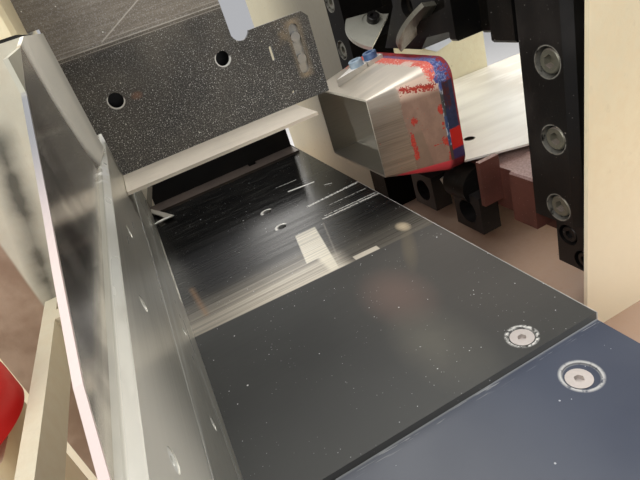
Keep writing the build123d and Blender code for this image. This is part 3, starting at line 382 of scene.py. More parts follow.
dress(paint("cream_paint", (0.9, 0.79, 0.54), (0.56, 0.47, 0.3), marks=cover_marks),
      "frame_cover", "guide_block", "hold_down_block", "control_box", "stop_box")
dress(paint("housing_paint", (0.68, 0.63, 0.44), (0.38, 0.34, 0.24), marks=housing_marks), "far_housing")
dress(paint("portal_paint", (0.6, 0.575, 0.46), (0.3, 0.28, 0.21), marks=portal_marks), "ram_portal")
dress(paint("rail_paint", (0.66, 0.6, 0.44), (0.4, 0.35, 0.26)), "fence_rail")
dress(paint("base_paint", (0.55, 0.385, 0.285), (0.4, 0.27, 0.2), 0.06, marks=bed_marks),
      "bed_plate", "base_cabinet", "service_panels", "table_rails")
print("painted nodes dressed")

# %% [markdown]
# Ground and drawn steel is a metal with a fine grain. The grain is a noise stretched along one axis, which shifts
# the colour a little and gives the relief, and a soft cloud stains it.


# %% Plain steel
def steel(name, colour, roughness, grain=(60, 1.2, 1.2), grain_depth=0.02, stain=0.2, metallic=1.0):
    """Ground or drawn steel, its grain longest along the largest of the grain's sizes."""
    look = Look(name)
    lines = look.noise(grain, 3)
    cloud = look.noise(45, 4).rise(0.35, 0.7)
    body = look.layers(
        colour, (cloud * stain, shade(colour, 0.55)),
        (lines.rise(0.3, 0.7) * 0.25, shade(colour, 1.15)))
    return look.done(body, roughness + cloud * 0.12 + lines * 0.08, metallic, lines, grain_depth)


screw_steel = steel("screw_steel", (0.36, 0.36, 0.36), 0.36, (3, 3, 3))
dress(screw_steel, "tie_rods")
dress(steel("ground_steel", (0.56, 0.55, 0.52), 0.3), "pusher_block", "ram_rod", "guide_rods",
      "cylinder_end_plates", "cylinder_tube", "guide_columns", "slot_clamp")
dress(steel("table_screw_steel", (0.62, 0.56, 0.52), 0.4, (3, 3, 3), 0.02, 0.3, 0.4), "table_screws")
# The fence screws are near white: painted glints.
dress(steel("glint_steel", (0.92, 0.91, 0.84), 0.3, (3, 3, 3), 0.01, 0.05, 0.25), "fence_screws")
print("plain steel nodes dressed")

# %% [markdown]
# Black oxide is thin: on corners and round screw seats the steel shows through in a brown grey, and light dust
# settles in patches. It is a dark metal with a half gloss. Faces that look towards the operator are darkened as
# painted shade.


# %% Black oxide
def black_oxide_look(name, base=(0.018, 0.016, 0.015), dust=0.6, sheen=(0.05, 0.042, 0.038), rings=(), shine=0.4):
    """Oiled black oxide; rings are bright worn counterbore edges, each with its y, z and radius."""
    look = Look(name)
    cloud = look.noise(35, 5).rise(0.45, 0.75)
    specks = look.specks(5.5, 0.075).most(look.specks(13, 0.055, (3, 1, 6))) * look.noise(25, 3).rise(0.42, 0.56)
    scuffs = look.noise((50, 1.5, 3), 3, (5, 2, 1)).rise(0.64, 0.78)
    # Faces that look towards the operator are darkened: painted shade.
    body = look.layers(
        base, (cloud * 0.6, sheen), (scuffs * 0.25, (0.12, 0.105, 0.095)),
        (specks * dust, (0.5, 0.46, 0.42)), (look.facing("Y", -1) * 0.75, (0.004, 0.004, 0.004)))
    if rings:
        worn = strongest(*(distance(look.y - y, look.z - z).near(radius, 1.5) for y, z, radius in rings))
        body = look.colour(worn * look.noise(4, 3).rise(0.3, 0.5) * 0.7, body, (0.42, 0.4, 0.34))
    return look.done(body, 0.34 + cloud * 0.2, shine * 0.75, look.noise(2.0, 3), 0.03, specular=shine)


def bar_rings(y, radius=10.3):
    """The counterbore edges of one frame bar."""
    return [(y, z, radius) for z in (-8.7, 43.4, 95.0, 146.0, 198.0)]


black_oxide = black_oxide_look("black_oxide")
dress(black_oxide, "levelling_feet", "rear_fence", "hold_down_arm", "die_bracket", "lower_frame_block",
      "small_cap_screws", "support_blocks")
dress(black_oxide_look("deep_oxide", (0.006, 0.005, 0.004), 0.5, (0.02, 0.016, 0.012), shine=0.16),
      "cross_head", "upper_gibs", "knife_holder", "lower_knife_holder")
dress(black_oxide_look("near_bar_oxide", (0.013, 0.0115, 0.0105), 0.6, (0.038, 0.032, 0.028), bar_rings(99.3)),
      "near_frame_bar")
# The far bar's black is darker and duller than the near bar's: painted shade.
dress(black_oxide_look("far_bar_oxide", (0.008, 0.006, 0.004), 0.4, (0.02, 0.016, 0.01), bar_rings(398.0), 0.03),
      "far_frame_bar")
print("black nodes dressed")

# %% [markdown]
# The table is blackened steel. Near the operator it is satin; where the stacks slide, from about 150 mm on, it is
# worn to a gloss that ends in a sharp line, with a painted sheen on it, brightest at that line, with fine streaks
# along x. This cell makes the masks of that worn zone: the band of wear and painted sheen, a painted highlight
# patch in it, and soft hazes of dust and painted reflected light.

# %% The table's worn zone and its painted sheen
table = Look("table_black")
slanted = table.y + table.x * 0.045
glossy = slanted.rise(149.3, 150.7)
fine_lines = table.noise((300, 0.9, 8), 3)
broad_lines = table.noise((340, 5.0, 8), 3, (1, 4, 2))
fade = slanted.rise(216, 150) ** 1.7
# The brightness of the band is a painted sheen on the worn gloss.
wear_and_sheen = glossy * fade * (0.46 + fine_lines.rise(0.38, 0.66) * 0.34 + broad_lines.rise(0.35, 0.62) * 0.34)
wear_and_sheen = wear_and_sheen * 1.15 * (0.45 + table.x.rise(-5, 80) * 0.6) * (0.12 + table.x.rise(126, 108) * 0.88)
strip = table.x.within(124.5, 143.5, 1.0) * slanted.within(150.8, 156.0, 0.8)
wear_and_sheen = wear_and_sheen.most(strip * 0.85)
# The patch is a painted highlight.
patch_right = 110.1 + (table.y - 143.6) * 0.165
patch_left = 95.7 + (table.y - 177.0) * 0.19
upper_patch = table.y.within(172, 220, 1.5) * (table.x - patch_left).rise(-0.6, 0.6)
lower_patch = table.y.within(147, 172, 1.0) * (table.x - 104.5).rise(-3.0, 2.0)
highlight_patch = upper_patch.most(lower_patch) * (table.x - patch_right).rise(0.6, -0.6)
highlight_patch = highlight_patch * (0.6 + fine_lines.rise(0.35, 0.65) * 0.4)
thin = (table.x - 113.5 - (table.y - 150.5) * 0.249).near(0.0, 2.2) * table.y.within(151, 218, 5)
spot = oval(table.x - 172, 6.0, table.y - 157, 9.0)
tail = oval(table.x - 160 - (table.y - 130) * 0.5, 7.0, table.y - 128, 30.0)
orange = (table.x - 11.5 + (table.y - 190) * 0.07).near(0.0, 7.5) * table.y.within(172, 214, 8)
near_haze = table.x.rise(60, 175) * table.y.rise(-20, 60) * table.y.rise(170, 120)
corner_haze = table.y.rise(90, -5) * table.x.rise(165, 110)
pink_haze = oval(table.x - 124, 26.0, table.y - 88, 40.0) ** 1.5
olive_haze = oval(table.x - 118, 26.0, table.y - 36, 46.0) ** 1.5
olive_haze = olive_haze * (0.5 + table.noise(30, 3, (5, 5, 5)).rise(0.3, 0.7) * 0.5)
far_haze = (table.x - 168 - (table.y - 356) * 0.31).near(0.0, 16) * table.y.within(340, 415, 20)
mirrored_wall = (table.x - 133.2 - (table.y - 244) * 0.296).rise(-1.0, 1.5) * table.y.rise(240, 430)
dusty = table.noise((46, 3.2, 4), 5, (4, 6, 2), 0.65).rise(0.5, 0.66) * table.y.within(325, 395, 25)
print("table masks ready")

# %% [markdown]
# Bare metal shows where something has scraped or rubbed: seven scratches near the right edge, all but one
# broken up, and the rim of a screw. The bright right edge and the lit sides of two holes' rims are painted
# highlights. White specks of paper dust lie all over.

# %% The table's bare metal and dust
HOLES = ((101.4, 248), (101.4, 292))
# Each scratch has its start, its end and its width.
WHOLE_SCRATCH = ((134.2, 316.5), (160.7, 312.2), 3.4)
BROKEN_SCRATCHES = (
    ((133.7, 263.7), (189.9, 266.2), 4.2), ((134.0, 227.0), (190.9, 225.6), 3.2),
    ((165.8, 293.4), (171.0, 290.5), 2.6), ((138.0, 231.2), (188.0, 229.8), 2.0),
    ((150.0, 247.0), (186.0, 246.0), 1.2), ((128.0, 340.0), (150.0, 338.0), 1.2))


def scratch(look, start, end, width):
    """1 along a thin line on the table."""
    (x0, y0), (x1, y1) = start, end
    line = (look.y - y0 - (look.x - x0) * ((y1 - y0) / (x1 - x0))).near(0.0, width)
    return line.boosted(2.0) * look.x.within(x0, x1, 1.5)


def crescent(look, x, y):
    """1 on the lit side of a hole's rim."""
    return look.ring(x, y, 5.3, 3.4) * (look.y - y - (look.x - x) * 0.5).rise(-1.5, 2.5)


def dust_of(look, large, small):
    """Specks of dust in two kinds, each with its size, radius and shift."""
    return look.specks(*large).most(look.specks(*small))


breaks = table.noise((2.4, 0.8, 2.0), 2, (3, 1, 4)).rise(0.4, 0.56)
scratches = strongest(scratch(table, *WHOLE_SCRATCH), *(scratch(table, *line) * breaks for line in BROKEN_SCRATCHES))
hole_highlights = strongest(*(crescent(table, x, y) for x, y in HOLES)).boosted(1.8)
# The bright right edge is a painted highlight.
edge = table.x.rise(189.3, 190.2) * table.y.within(-5, 266, 2)
screw_rim = table.ring(152, 11, 7.4, 2.6) * table.noise(3.2, 4, (2, 2, 2), 0.7).rise(0.4, 0.56)
bare_and_highlights = strongest(scratches, edge * 0.8, hole_highlights, screw_rim).least(1.0)
dust = dust_of(table, (7.5, 0.052), (23.0, 0.03, (7, 3, 5))) * table.noise(55, 3, (2, 8, 1)).rise(0.3, 0.46)
fine_dust = table.specks(3.0, 0.095, (1, 9, 2)) * table.noise(30, 3).rise(0.45, 0.6)
print("scratches", 1 + len(BROKEN_SCRATCHES), "holes", len(HOLES))

# %% [markdown]
# The coats go on from the ground up: satin and gloss black, painted light on faces towards the operator, the
# hazes, the worn band with its painted sheen and painted highlight patch, and bare metal, painted highlights and
# dust last. The small front plate has a bluer black, its own screw rims and a bright lip along the joint.

# %% The table's colours
satin = table.colour(table.noise(120, 4).rise(0.3, 0.75), (0.044, 0.044, 0.042), (0.06, 0.06, 0.056))
gloss_black = table.colour(table.noise((140, 12, 12), 4).rise(0.3, 0.75), (0.005, 0.005, 0.005),
                           (0.012, 0.0115, 0.011))
# Faces that look towards the operator are lightened: painted light against their shade.
body = table.layers(
    table.colour(glossy, satin, gloss_black), (near_haze * 0.35, (0.16, 0.14, 0.12)),
    (corner_haze * 0.4, (0.125, 0.125, 0.118)),
    (table.facing("Y", -1), (0.115, 0.115, 0.112)),
    (pink_haze * 0.5, (0.21, 0.14, 0.115)),
    (olive_haze * 0.45, (0.19, 0.175, 0.14)),
    (far_haze * 0.4, (0.22, 0.2, 0.165)),
    (mirrored_wall * 0.55, (0.085, 0.082, 0.062)),
    (dusty * 0.35, (0.08, 0.076, 0.066)))
body = table.layers(
    body, (wear_and_sheen.least(1.0), (0.62, 0.555, 0.45)),
    (thin * 0.3, (0.42, 0.38, 0.32)),
    (tail * 0.35, (0.2, 0.16, 0.105)),
    (spot * 0.8, (0.5, 0.41, 0.28)),
    (highlight_patch * 0.95, (0.8, 0.735, 0.59)),
    ((orange ** 1.5) * 0.55, (0.26, 0.145, 0.07)),
    (bare_and_highlights * 0.9, (0.88, 0.86, 0.8)),
    ((dust * 0.9).most(fine_dust * 0.5), (0.8, 0.8, 0.79)))
rubbed = table.noise((170, 3, 4), 4).rise(0.35, 0.7)
roughness = 0.42 - glossy * 0.16 - table.y.rise(225, 300) * 0.12 + rubbed * 0.08
table_black = table.done(body, roughness, 0.0, table.noise((50, 2, 4), 4), 0.015, specular=0.11)
dress(table_black, "table_plate")


def front_plate_look():
    """The small plate before the table."""
    look = Look("front_plate_black")
    joint = look.y.rise(-7, 0) * look.noise((14, 0.9, 4), 4, (3, 1, 8)).rise(0.58, 0.66)
    lip = look.y.rise(-1.9, -0.7)
    screw_rims = strongest(*(look.ring(x, -22, 8.8, 2.6) for x in (27.4, 155.4)))
    screw_rims = screw_rims * look.noise(2.6, 3).rise(0.28, 0.5)
    bright = strongest(joint * 0.55, screw_rims * 0.9, lip * 0.4)
    body = look.colour(look.noise(90, 4).rise(0.3, 0.75), (0.046, 0.055, 0.083), (0.072, 0.082, 0.112))
    body = look.layers(
        body, (look.x.rise(150, 60) * 0.5, (0.17, 0.175, 0.185)), (bright, (0.62, 0.61, 0.58)),
        (dust_of(look, (8.0, 0.036), (19.0, 0.03, (7, 3, 5))) * 0.8, (0.66, 0.67, 0.68)))
    return look.done(body, 0.36 + look.noise(30, 4).rise(0.4, 0.7) * 0.12, 0.0, look.noise((40, 2, 4), 4), 0.02,
                     specular=0.3)


dress(front_plate_look(), "front_table_plate")
print("table and front plate dressed")

# %% [markdown]
# The fence is the machine's reference, so it is ground and polished. It mirrors the table and the hold-down
# plate. A mirror with no flaw looks computed: very fine lines along the bar and a few smudges keep it steel.


# %% Polished steel
def polished(name, colour, roughness, smudge, metallic, marks):
    """Polished steel with very fine lines along y; marks changes the colour, roughness and metal."""
    look = Look(name)
    lines = look.noise((4, 260, 2.2), 3)
    smears = look.noise((20, 90, 34), 4, (2, 5, 3)).rise(0.42, 0.72)
    body = look.layers(
        colour, (lines.rise(0.35, 0.65), shade(colour, 0.88)),
        (smears * smudge, shade(colour, 0.66)))
    finish = marks(look, body, roughness + smears * 0.1, metallic)
    return look.done(*finish, lines, 0.012)


print("polish ready")

# %% [markdown]
# The bars have bright bevels, painted glints, two long slanted bright lines, and painted light near the operator.
# The tall plate turns matt with dust towards its post, and its pale colour there is a painted reflection.

# %% The fence's marks
FENCE_TOP = 121.0
FENCE_JOINT = 63.0
# Each painted glint on the bars has its y, its z, and half its length and height.
PAINTED_GLINTS = ((146.8, 90.5, 7, 1.2), (87, 104.7, 6, 1.0), (223, 23.3, 7, 1.6), (89, 67.3, 3, 1.2), (147.6, 32, 4, 1.6),
         (132, 29.9, 3, 1.4), (124.8, 20.8, 4, 1.4), (89, 37.7, 3, 1.5), (83.4, 30.8, 3, 1.6), (58, 43, 2.5, 1.4),
         (196, 112, 8, 1.2))


def bar_marks(look, body, roughness, metallic):
    """The bars: bright bevels and joint, two slanted bright lines, painted glints, painted light near the operator
    and a dull upper edge.
    """
    bevel = look.z.rise(FENCE_TOP - 4.0, FENCE_TOP - 2.8) * look.z.rise(FENCE_TOP - 0.1, FENCE_TOP - 0.5)
    joint = look.z.within(FENCE_JOINT - 1.4, FENCE_JOINT + 1.4, 0.7)
    upper_line = (look.z - 60.2 + look.y * 0.1).near(0.0, 4.6)
    lower_line = (look.z - 8.8 - look.y * 0.105).near(0.0, 4.0) * look.y.rise(190, 140)
    break_up = 0.55 + look.noise((10, 40, 10), 3, (3, 1, 1)).rise(0.3, 0.6) * 0.45
    lines = strongest(bevel, joint * 0.85, upper_line.most(lower_line).boosted(1.6) * 0.85) * break_up
    # Small painted glints on the bars.
    painted_glints = (oval(look.y - y, long, look.z - z, high) * 2.0 for y, z, long, high in PAINTED_GLINTS)
    bright = strongest(lines, *painted_glints).least(1.0)
    above_joint = look.z.rise(FENCE_JOINT, FENCE_JOINT + 3)
    # Lighter near the operator: painted light.
    near = look.y.rise(30, -60) * above_joint
    upper_edge = look.z.rise(FENCE_TOP - 0.8, FENCE_TOP - 0.2)
    streak = look.z.rise(116.5, 117.5) * look.y.within(150, 205, 8)
    streak = streak * look.noise((4, 10, 4), 3, (2, 2, 2)).rise(0.4, 0.55)
    body = look.layers(
        body, (bright, (0.56, 0.56, 0.51)),
        (above_joint * look.y.rise(60, 140) * 0.55, (1.0, 0.97, 0.85)),
        (near * 0.85, (0.86, 0.83, 0.73)), (upper_edge * 0.6, (0.2, 0.19, 0.15)),
        (streak, (0.86, 0.85, 0.8)))
    return body, roughness + upper_edge * 0.3 - bright * 0.05, metallic - bright.most(near * 0.9) * 0.5


def plate_marks(look, body, roughness, metallic):
    """The tall plate: speckled and matt towards the post, pale there as a painted reflection; a painted pinkish
    highlight along its edge; paint at its far top corner; darker blotches towards the near end.
    """
    above = (184.0 - look.z).most(0.0) / 61.5
    # Towards the post the plate is matt with dust, and its pale colour is a painted reflection of the cream paint.
    dull = (look.y - 138.0 - above * above * 44.0).rise(-7, 16)
    specks = look.noise(1.3, 3, (2, 1, 4), 0.7).rise(0.52, 0.68)
    post_edge = look.x.rise(-2.2, -0.4) * look.z.rise(FENCE_TOP + 0.5, FENCE_TOP + 2)
    # The pinkish edge is a painted highlight.
    edge = (look.z - 152.6 - look.y * 0.347).most(look.z - 132.8 - (look.y + 57.0) * 0.588).rise(-1.3, -0.4)
    edge = edge * look.y.rise(84, 72)
    edge_highlight_colour = look.colour(look.y.rise(50, -30), (0.24, 0.24, 0.25), (0.68, 0.56, 0.515))
    painted = (look.z - 170.2 - (look.y - 45.9) * 0.28).rise(0.0, 1.2) * look.y.rise(56, 62) * look.y.rise(168, 160)
    # Darker in blotches towards the near end.
    near_blotches = (0.35 + look.noise((30, 24, 40), 4, (7, 1, 2)).rise(0.35, 0.65) * 0.65) * look.y.rise(120, 20)
    body = look.layers(
        body, (dull, (1.0, 0.97, 0.86)), (dull * specks * 0.65, (0.92, 0.9, 0.82)),
        (post_edge * 0.8, (0.66, 0.65, 0.58)), (edge, edge_highlight_colour), (painted, (0.56, 0.54, 0.43)),
        (near_blotches * (1 - edge) * 0.8, (0.085, 0.062, 0.055)))
    matt = strongest(dull, edge, painted)
    return body, roughness + matt * 0.28, metallic - matt * 0.62


dress(polished("fence_steel", (0.62, 0.605, 0.53), 0.3, 0.35, 0.72, bar_marks),
      "fence_lower_bar", "fence_upper_bar", "pusher_plate")
dress(polished("mirror_steel", (0.95, 0.9, 0.81), 0.16, 0.25, 0.88, plate_marks), "fence_mirror_plate")
print("fence dressed,", len(PAINTED_GLINTS), "painted_glints")

# %% [markdown]
# The knives are ground, with an oily film, and darker towards the top. The ledge under the hold-down plate is
# brushed along its length, and the corner's sheet pieces are bright.


# %% Knives and ledge
def blade_look(name, low, high, heights, dark=0.6):
    """Ground knife steel with an oily film; the colour goes from low to high between two heights."""
    look = Look(name)
    film = look.noise(12, 4, (2, 6, 1)).rise(0.35, 0.65)
    grain = look.noise(1.4, 3)
    body = look.colour(look.z.rise(*heights), low, high)
    body = look.layers(body, (film * 0.3, shade(low, dark)), (grain.rise(0.6, 0.75) * 0.3, (0.55, 0.53, 0.46)))
    return look.done(body, 0.36 + film * 0.12, 0.45, grain, 0.02)


blade_steel = steel("blade_steel", (0.84, 0.82, 0.74), 0.36, (3, 40, 40), 0.02, 0.1, 0.2)
dress(blade_steel, "corner_deflector")
dress(steel("ledge_steel", (0.9, 0.8, 0.66), 0.4, (120, 1.4, 1.4), 0.04, 0.45, 0.35), "hold_down_ledge")
dress(blade_look("bright_steel", (0.62, 0.6, 0.5), (0.17, 0.16, 0.13), (100, 145)),
      "far_upper_knife", "lower_knife")
dress(blade_look("dark_blade", (0.22, 0.205, 0.16), (0.12, 0.11, 0.085), (110, 150)), "near_upper_knife")
print("knives and ledge dressed")

# %% [markdown]
# The hold-down plate is blued sheet that has been in use for years: dense fine specks, more of them low down,
# long scratches, and tan patches where it is rubbed. Above the fold it is lighter, with long streaks: a painted
# reflection.


# %% The hold-down plate
FOLD_HEIGHT = 182.0
PLATE_HOLES = ((21.4, 143.4), (110.4, 144.5))


def hold_down_look():
    """Blued sheet, worn by use."""
    look = Look("hold_down_sheet")
    low = look.z.rise(190, 95)
    # Above the fold the plate is lightened, with long streaks: painted reflection.
    upper = look.z.rise(176, 186)
    grain = look.noise(1.0, 2, (4, 2, 6), 0.8).rise(0.5, 0.66)
    brushed = look.noise((30, 30, 1.6), 4, (1, 2, 3), 0.6).rise(0.4, 0.66)
    specks = look.specks(1.5, 0.21).most(look.specks(3.1, 0.12, (3, 6, 1)))
    density = look.noise(20, 4).rise(0.25, 0.55) * (0.45 + low * 0.55) * (1 - upper * 0.75)
    cloud = look.noise(40, 5, (3, 3, 1)).rise(0.35, 0.7)
    rust = oval(look.x - 37, 5.5, look.z - 141.5, 3.6)
    slot_edge = look.x.near(174.7, 17) * look.z.within(109, 152, 4)
    tan = look.x.near(168, 34) * look.z.near(146, 30) * look.noise(9, 4).rise(0.38, 0.62)
    scratch_line = (look.z - look.x * 0.5).near(168.5, 1.5) * look.x.within(33, 76, 5)
    fold_lines = strongest(look.z.near(FOLD_HEIGHT, 1.3), look.z.near(FOLD_HEIGHT - 2.4, 0.8),
                           look.z.near(FOLD_HEIGHT + 3, 0.8) * 0.5)
    fold_lines = fold_lines * look.noise((30, 30, 2), 3).rise(0.25, 0.5)
    body = look.layers(
        look.colour(cloud, (0.048, 0.043, 0.036), (0.105, 0.092, 0.072)),
        (upper * 0.8, (0.165, 0.135, 0.1)),
        (upper * brushed * 0.6, (0.23, 0.2, 0.155)),
        (low * 0.5, (0.042, 0.046, 0.05)),
        (grain * (0.42 + low * 0.34), (0.4, 0.385, 0.355)),
        ((specks * density).boosted(1.3) * 0.95, (0.82, 0.81, 0.77)),
        (look.specks(11.0, 0.05, (2, 8, 5)), (0.74, 0.71, 0.64)),
        (rust * 0.6, (0.28, 0.13, 0.075)),
        (slot_edge * 0.75, (0.4, 0.31, 0.2)),
        (tan * 0.6, (0.34, 0.25, 0.15)),
        (scratch_line.most(fold_lines).least(1.0) * 0.75, (0.5, 0.46, 0.39)))
    for x, z in PLATE_HOLES:
        lit_side = (look.z - z + (look.x - x) * 0.4).rise(3.5, 0.0)
        lit = distance(look.x - x, look.z - z).near(5.9, 1.9) * lit_side
        body = look.colour(lit.boosted(2.0) * 0.9, body, (0.86, 0.84, 0.78))
    return look.done(body, 0.42 + cloud * 0.14, 0.2, grain + specks * 0.6, 0.03)


dress(hold_down_look(), "hold_down_plate")
print("hold-down plate dressed")

# %% [markdown]
# The die is brushed stainless steel, and its rim was painted red and blue by hand and has worn. Its look is built
# up in steps. First comes the bare metal, with painted light on top that grows towards the rim, and a painted
# highlight on the edge round the mouth.

# %% The die's bare metal and its painted light
MOUTH_X = 194.0
die = Look("die_steel")
top = die.facing("Z") * die.z.rise(60, 70)
side = 1 - top
brush = die.noise((30, 60, 0.5), 3) * side + die.noise((30, 0.6, 60), 3) * top
long_brush = die.noise((90, 60, 6), 3, (3, 2, 6)) * side + die.noise((90, 5, 60), 3, (3, 2, 6)) * top
# The top is lightened, more towards the rim: painted light.
lit = (die.x - MOUTH_X) / 110 + (300 - die.y) / 200 + die.noise((60, 14, 60), 3, (1, 4, 2)) * 0.3
bright_top = die.colour(lit.rise(0.4, 0.9), (0.4, 0.355, 0.29), (0.98, 0.88, 0.74))
# The edge round the mouth is lightened: painted highlight.
mouth = die.facing("X", -1) * die.x.rise(MOUTH_X + 0.4, MOUTH_X + 0.2)
bare_metal = die.layers(
    die.colour(brush.rise(0.25, 0.75), (0.335, 0.285, 0.23), (0.22, 0.185, 0.145)),
    (long_brush.rise(0.35, 0.65) * 0.3, (0.4, 0.35, 0.29)),
    (die.z.rise(60, 74) * 0.4, (0.52, 0.46, 0.38)),
    (top, bright_top),
    (mouth * die.z.rise(20, 84), (0.95, 0.88, 0.74)))
print("bare metal ready")

# %% [markdown]
# On the near side the half towards the rim is tan, with a ragged edge, and red paint is left there in single
# dabs: an oval round each place raises the chance of paint, and two noises decide where it still sticks. A row
# of red runs below the upper corner, and a band of it lies on the top beside the rim.

# %% The die's worn side and its red paint
# Each dab has its x, its z, and half its length and height.
DABS = ((248.6, 58.5, 3.6, 6.5), (248.0, 31, 4.8, 6.5), (250.8, 17, 3.4, 7.0), (222.5, 40, 3.0, 11.0),
        (223.0, 29, 3.4, 10.0), (226.0, 56, 4.0, 5.5), (248.6, 46.5, 1.6, 2.0), (248.2, 42.5, 1.5, 1.8))
ragged = die.noise(3.4, 4, (2, 1, 3), 0.7)
fine = die.noise(1.6, 3, (8, 2, 2), 0.6)
worn = (die.x + ragged * 5.0 - die.z.rise(66, 20) * 2.2).rise(220.6, 221.8) * side
# The pale upper corner of the near side is a painted highlight.
corner = die.z.rise(72, 80) * side
darker = (die.x + die.z * 0.14 + ragged * 3).rise(239.6, 238.2) * die.z.rise(50, 44)
tan_cloud = die.noise((9, 9, 14), 4, (4, 1, 1), 0.6).rise(0.35, 0.68)
tan = die.layers(
    die.colour(tan_cloud, (0.315, 0.2, 0.145), (0.25, 0.155, 0.115)),
    (darker * 0.6, (0.185, 0.135, 0.095)), (corner, (0.8, 0.6, 0.47)))
body = die.colour(worn.most(corner * die.x.rise(214, 228)), bare_metal, tan)

short_line = die.z.near(30.3, 2.4) * die.x.within(238, 248) * 0.8
weight = strongest(short_line, *(oval(die.x - x, wide, die.z - z, high) for x, z, wide, high in DABS))
row = die.z.near(84.0 - (die.x - 219) * 0.2, 12.0) * die.x.rise(216, 222) * die.x.rise(252, 246) * side
speckled = die.specks(3.4, 0.16, (5, 5, 2)) * 0.12
side_red = (weight.most(row) * 0.3 + fine * 0.55 + ragged * 0.45 + worn * speckled).rise(0.665, 0.7)
rim_corner = die.x.rise(240, 246) * die.z.rise(79, 85) * die.y.rise(262, 236)
top_band = die.x.rise(238.5, 246.5) * die.z.rise(88, 92)
top_far = die.y.rise(306, 314) * die.x.rise(214, 240)
high_red = (top_band.most(rim_corner) * 0.24 + top_far * 0.15 + fine * 0.6 + ragged * 0.4).rise(0.62, 0.7)
high_red = high_red * (1 - die.y.within(226, 236, 5) * die.x.rise(251, 247) * die.z.rise(88, 90) * 0.7)
dull_red = die.colour(fine.rise(0.4, 0.6), (0.5, 0.045, 0.022), (0.36, 0.03, 0.02))
fresh_red = die.colour(fine.rise(0.4, 0.62), (0.72, 0.045, 0.025), (0.8, 0.13, 0.08))
body = die.layers(body, (side_red * side, dull_red), (high_red * 0.92, fresh_red))
print("red paint,", len(DABS), "dabs")

# %% [markdown]
# The rim is painted all over, in bands by height: navy, then red, then two dark bands below, with mixed blue on
# the round upper corner and purple and red along the top. The seam beside it has its own darker bands and chalk.

# %% The die's rim
dabs = ragged * 0.6 + fine * 0.4
height = die.z + (fine - 0.5) * 2.5
navy = die.colour(ragged.rise(0.4, 0.6), (0.01, 0.02, 0.052), (0.022, 0.03, 0.075))
dark_red = die.x.within(253.5, 258.5, 1.0) * die.z.within(60, 79, 4) * dabs.rise(0.38, 0.55)
blue = die.layers(
    die.colour(fine.rise(0.45, 0.62), (0.06, 0.085, 0.27), (0.26, 0.32, 0.55)),
    ((dabs + die.x.rise(256, 262) * 0.12).rise(0.55, 0.6), (0.3, 0.03, 0.03)))
back = die.colour(dabs.rise(0.46, 0.54), (0.42, 0.028, 0.024), (0.16, 0.022, 0.03))
purple = die.colour(dabs.rise(0.45, 0.58), (0.17, 0.12, 0.28), (0.34, 0.12, 0.16))
far_top = die.colour((die.x + ragged * 3).rise(257.5, 259), purple, back)
rim = die.layers(
    navy, (height.rise(40, 38.5), (0.47, 0.012, 0.007)),
    (height.rise(22.5, 20.5), (0.036, 0.022, 0.075)),
    (height.rise(9, 6.5), (0.075, 0.008, 0.01)),
    (dark_red, (0.062, 0.01, 0.01)),
    (die.x.rise(262.2, 262.8) * die.z.rise(36, 44), (0.2, 0.012, 0.01)),
    (die.z.rise(78, 82), blue),
    (top * die.y.rise(222, 238), far_top))
seam = die.x.within(250.4, 252.6, 0.5) * side
chalk = (die.noise((1.0, 9, 5.0), 3, (4, 4, 2)) * die.z.within(27, 90, 3)).rise(0.56, 0.62)
seam_colour = die.layers(
    (0.045, 0.045, 0.042), (die.z.rise(53, 51), (0.028, 0.055, 0.13)),
    (die.z.rise(27, 25), (0.055, 0.032, 0.024)),
    (die.z.rise(13, 11), (0.16, 0.01, 0.01)),
    (die.z.rise(72, 75), (0.05, 0.075, 0.24)),
    (chalk * 0.85, (0.5, 0.53, 0.58)))
upper_blue = (die.x.rise(245.5, 250) * die.z.rise(77, 81) * 0.28 + ragged).rise(0.7, 0.74) * side
body = die.layers(body, (die.x.rise(251.4, 252.0), rim), (seam, seam_colour), (upper_blue, blue))
print("rim ready")

# %% [markdown]
# Last come the red foot along the lower edge and the bare inside. Where there is paint the look isn't metallic,
# and tan and the painted highlights on the upper corner and round the mouth are less so than the brushed faces.

# %% The die's foot and inside
foot = (die.z + die.x * 0.063).rise(29.0, 28.0) * die.x.rise(201, 208)
foot_colour = die.colour(die.x.rise(248, 252.5), (0.6, 0.045, 0.06), (0.12, 0.008, 0.012))
inner = die.z.rise(83.9, 83.2) * die.z.rise(16.8, 17.6) * die.y.rise(213.4, 213.8) * die.y.rise(318.6, 318.2)
inner = inner * die.x.rise(251.0, 249.0) * die.x.rise(MOUTH_X + 0.1, MOUTH_X + 0.4)
inner_metal = die.colour(brush, (0.3, 0.28, 0.235), (0.225, 0.21, 0.175))
body = die.layers(body, (foot, foot_colour), (inner, inner_metal))
painted = strongest(side_red, high_red, die.x.rise(251.0, 252.0), foot, seam) * (1 - inner)
dulled = strongest(worn, corner, mouth) * (1 - painted)
metal = (0.85 - painted * 0.85 - dulled * 0.6 - top * 0.35).most(0.0)
die_steel = die.done(body, 0.27 + brush * 0.1 + painted * 0.12 + top * 0.1, metal, brush + painted * 1.2, 0.05)
dress(die_steel, "hollow_die")
print(die_steel.name)

# %% [markdown]
# The clamping lug on the die is clean pale steel with its top lightened as painted light, and its two screws were
# painted over, the front one paler.


# %% The lug and its screws
def lug_look():
    look = Look("lug_steel")
    grain = look.noise((30, 2, 2), 3)
    # The top face is lightened: painted light.
    body = look.layers(
        look.colour(grain.rise(0.3, 0.7), (0.5, 0.46, 0.39), (0.42, 0.385, 0.33)),
        (look.facing("Z"), (0.88, 0.83, 0.76)),
        (look.noise(9, 3).rise(0.45, 0.7) * 0.3, (0.4, 0.36, 0.31)))
    return look.done(body, 0.42, 0.2, grain, 0.02)


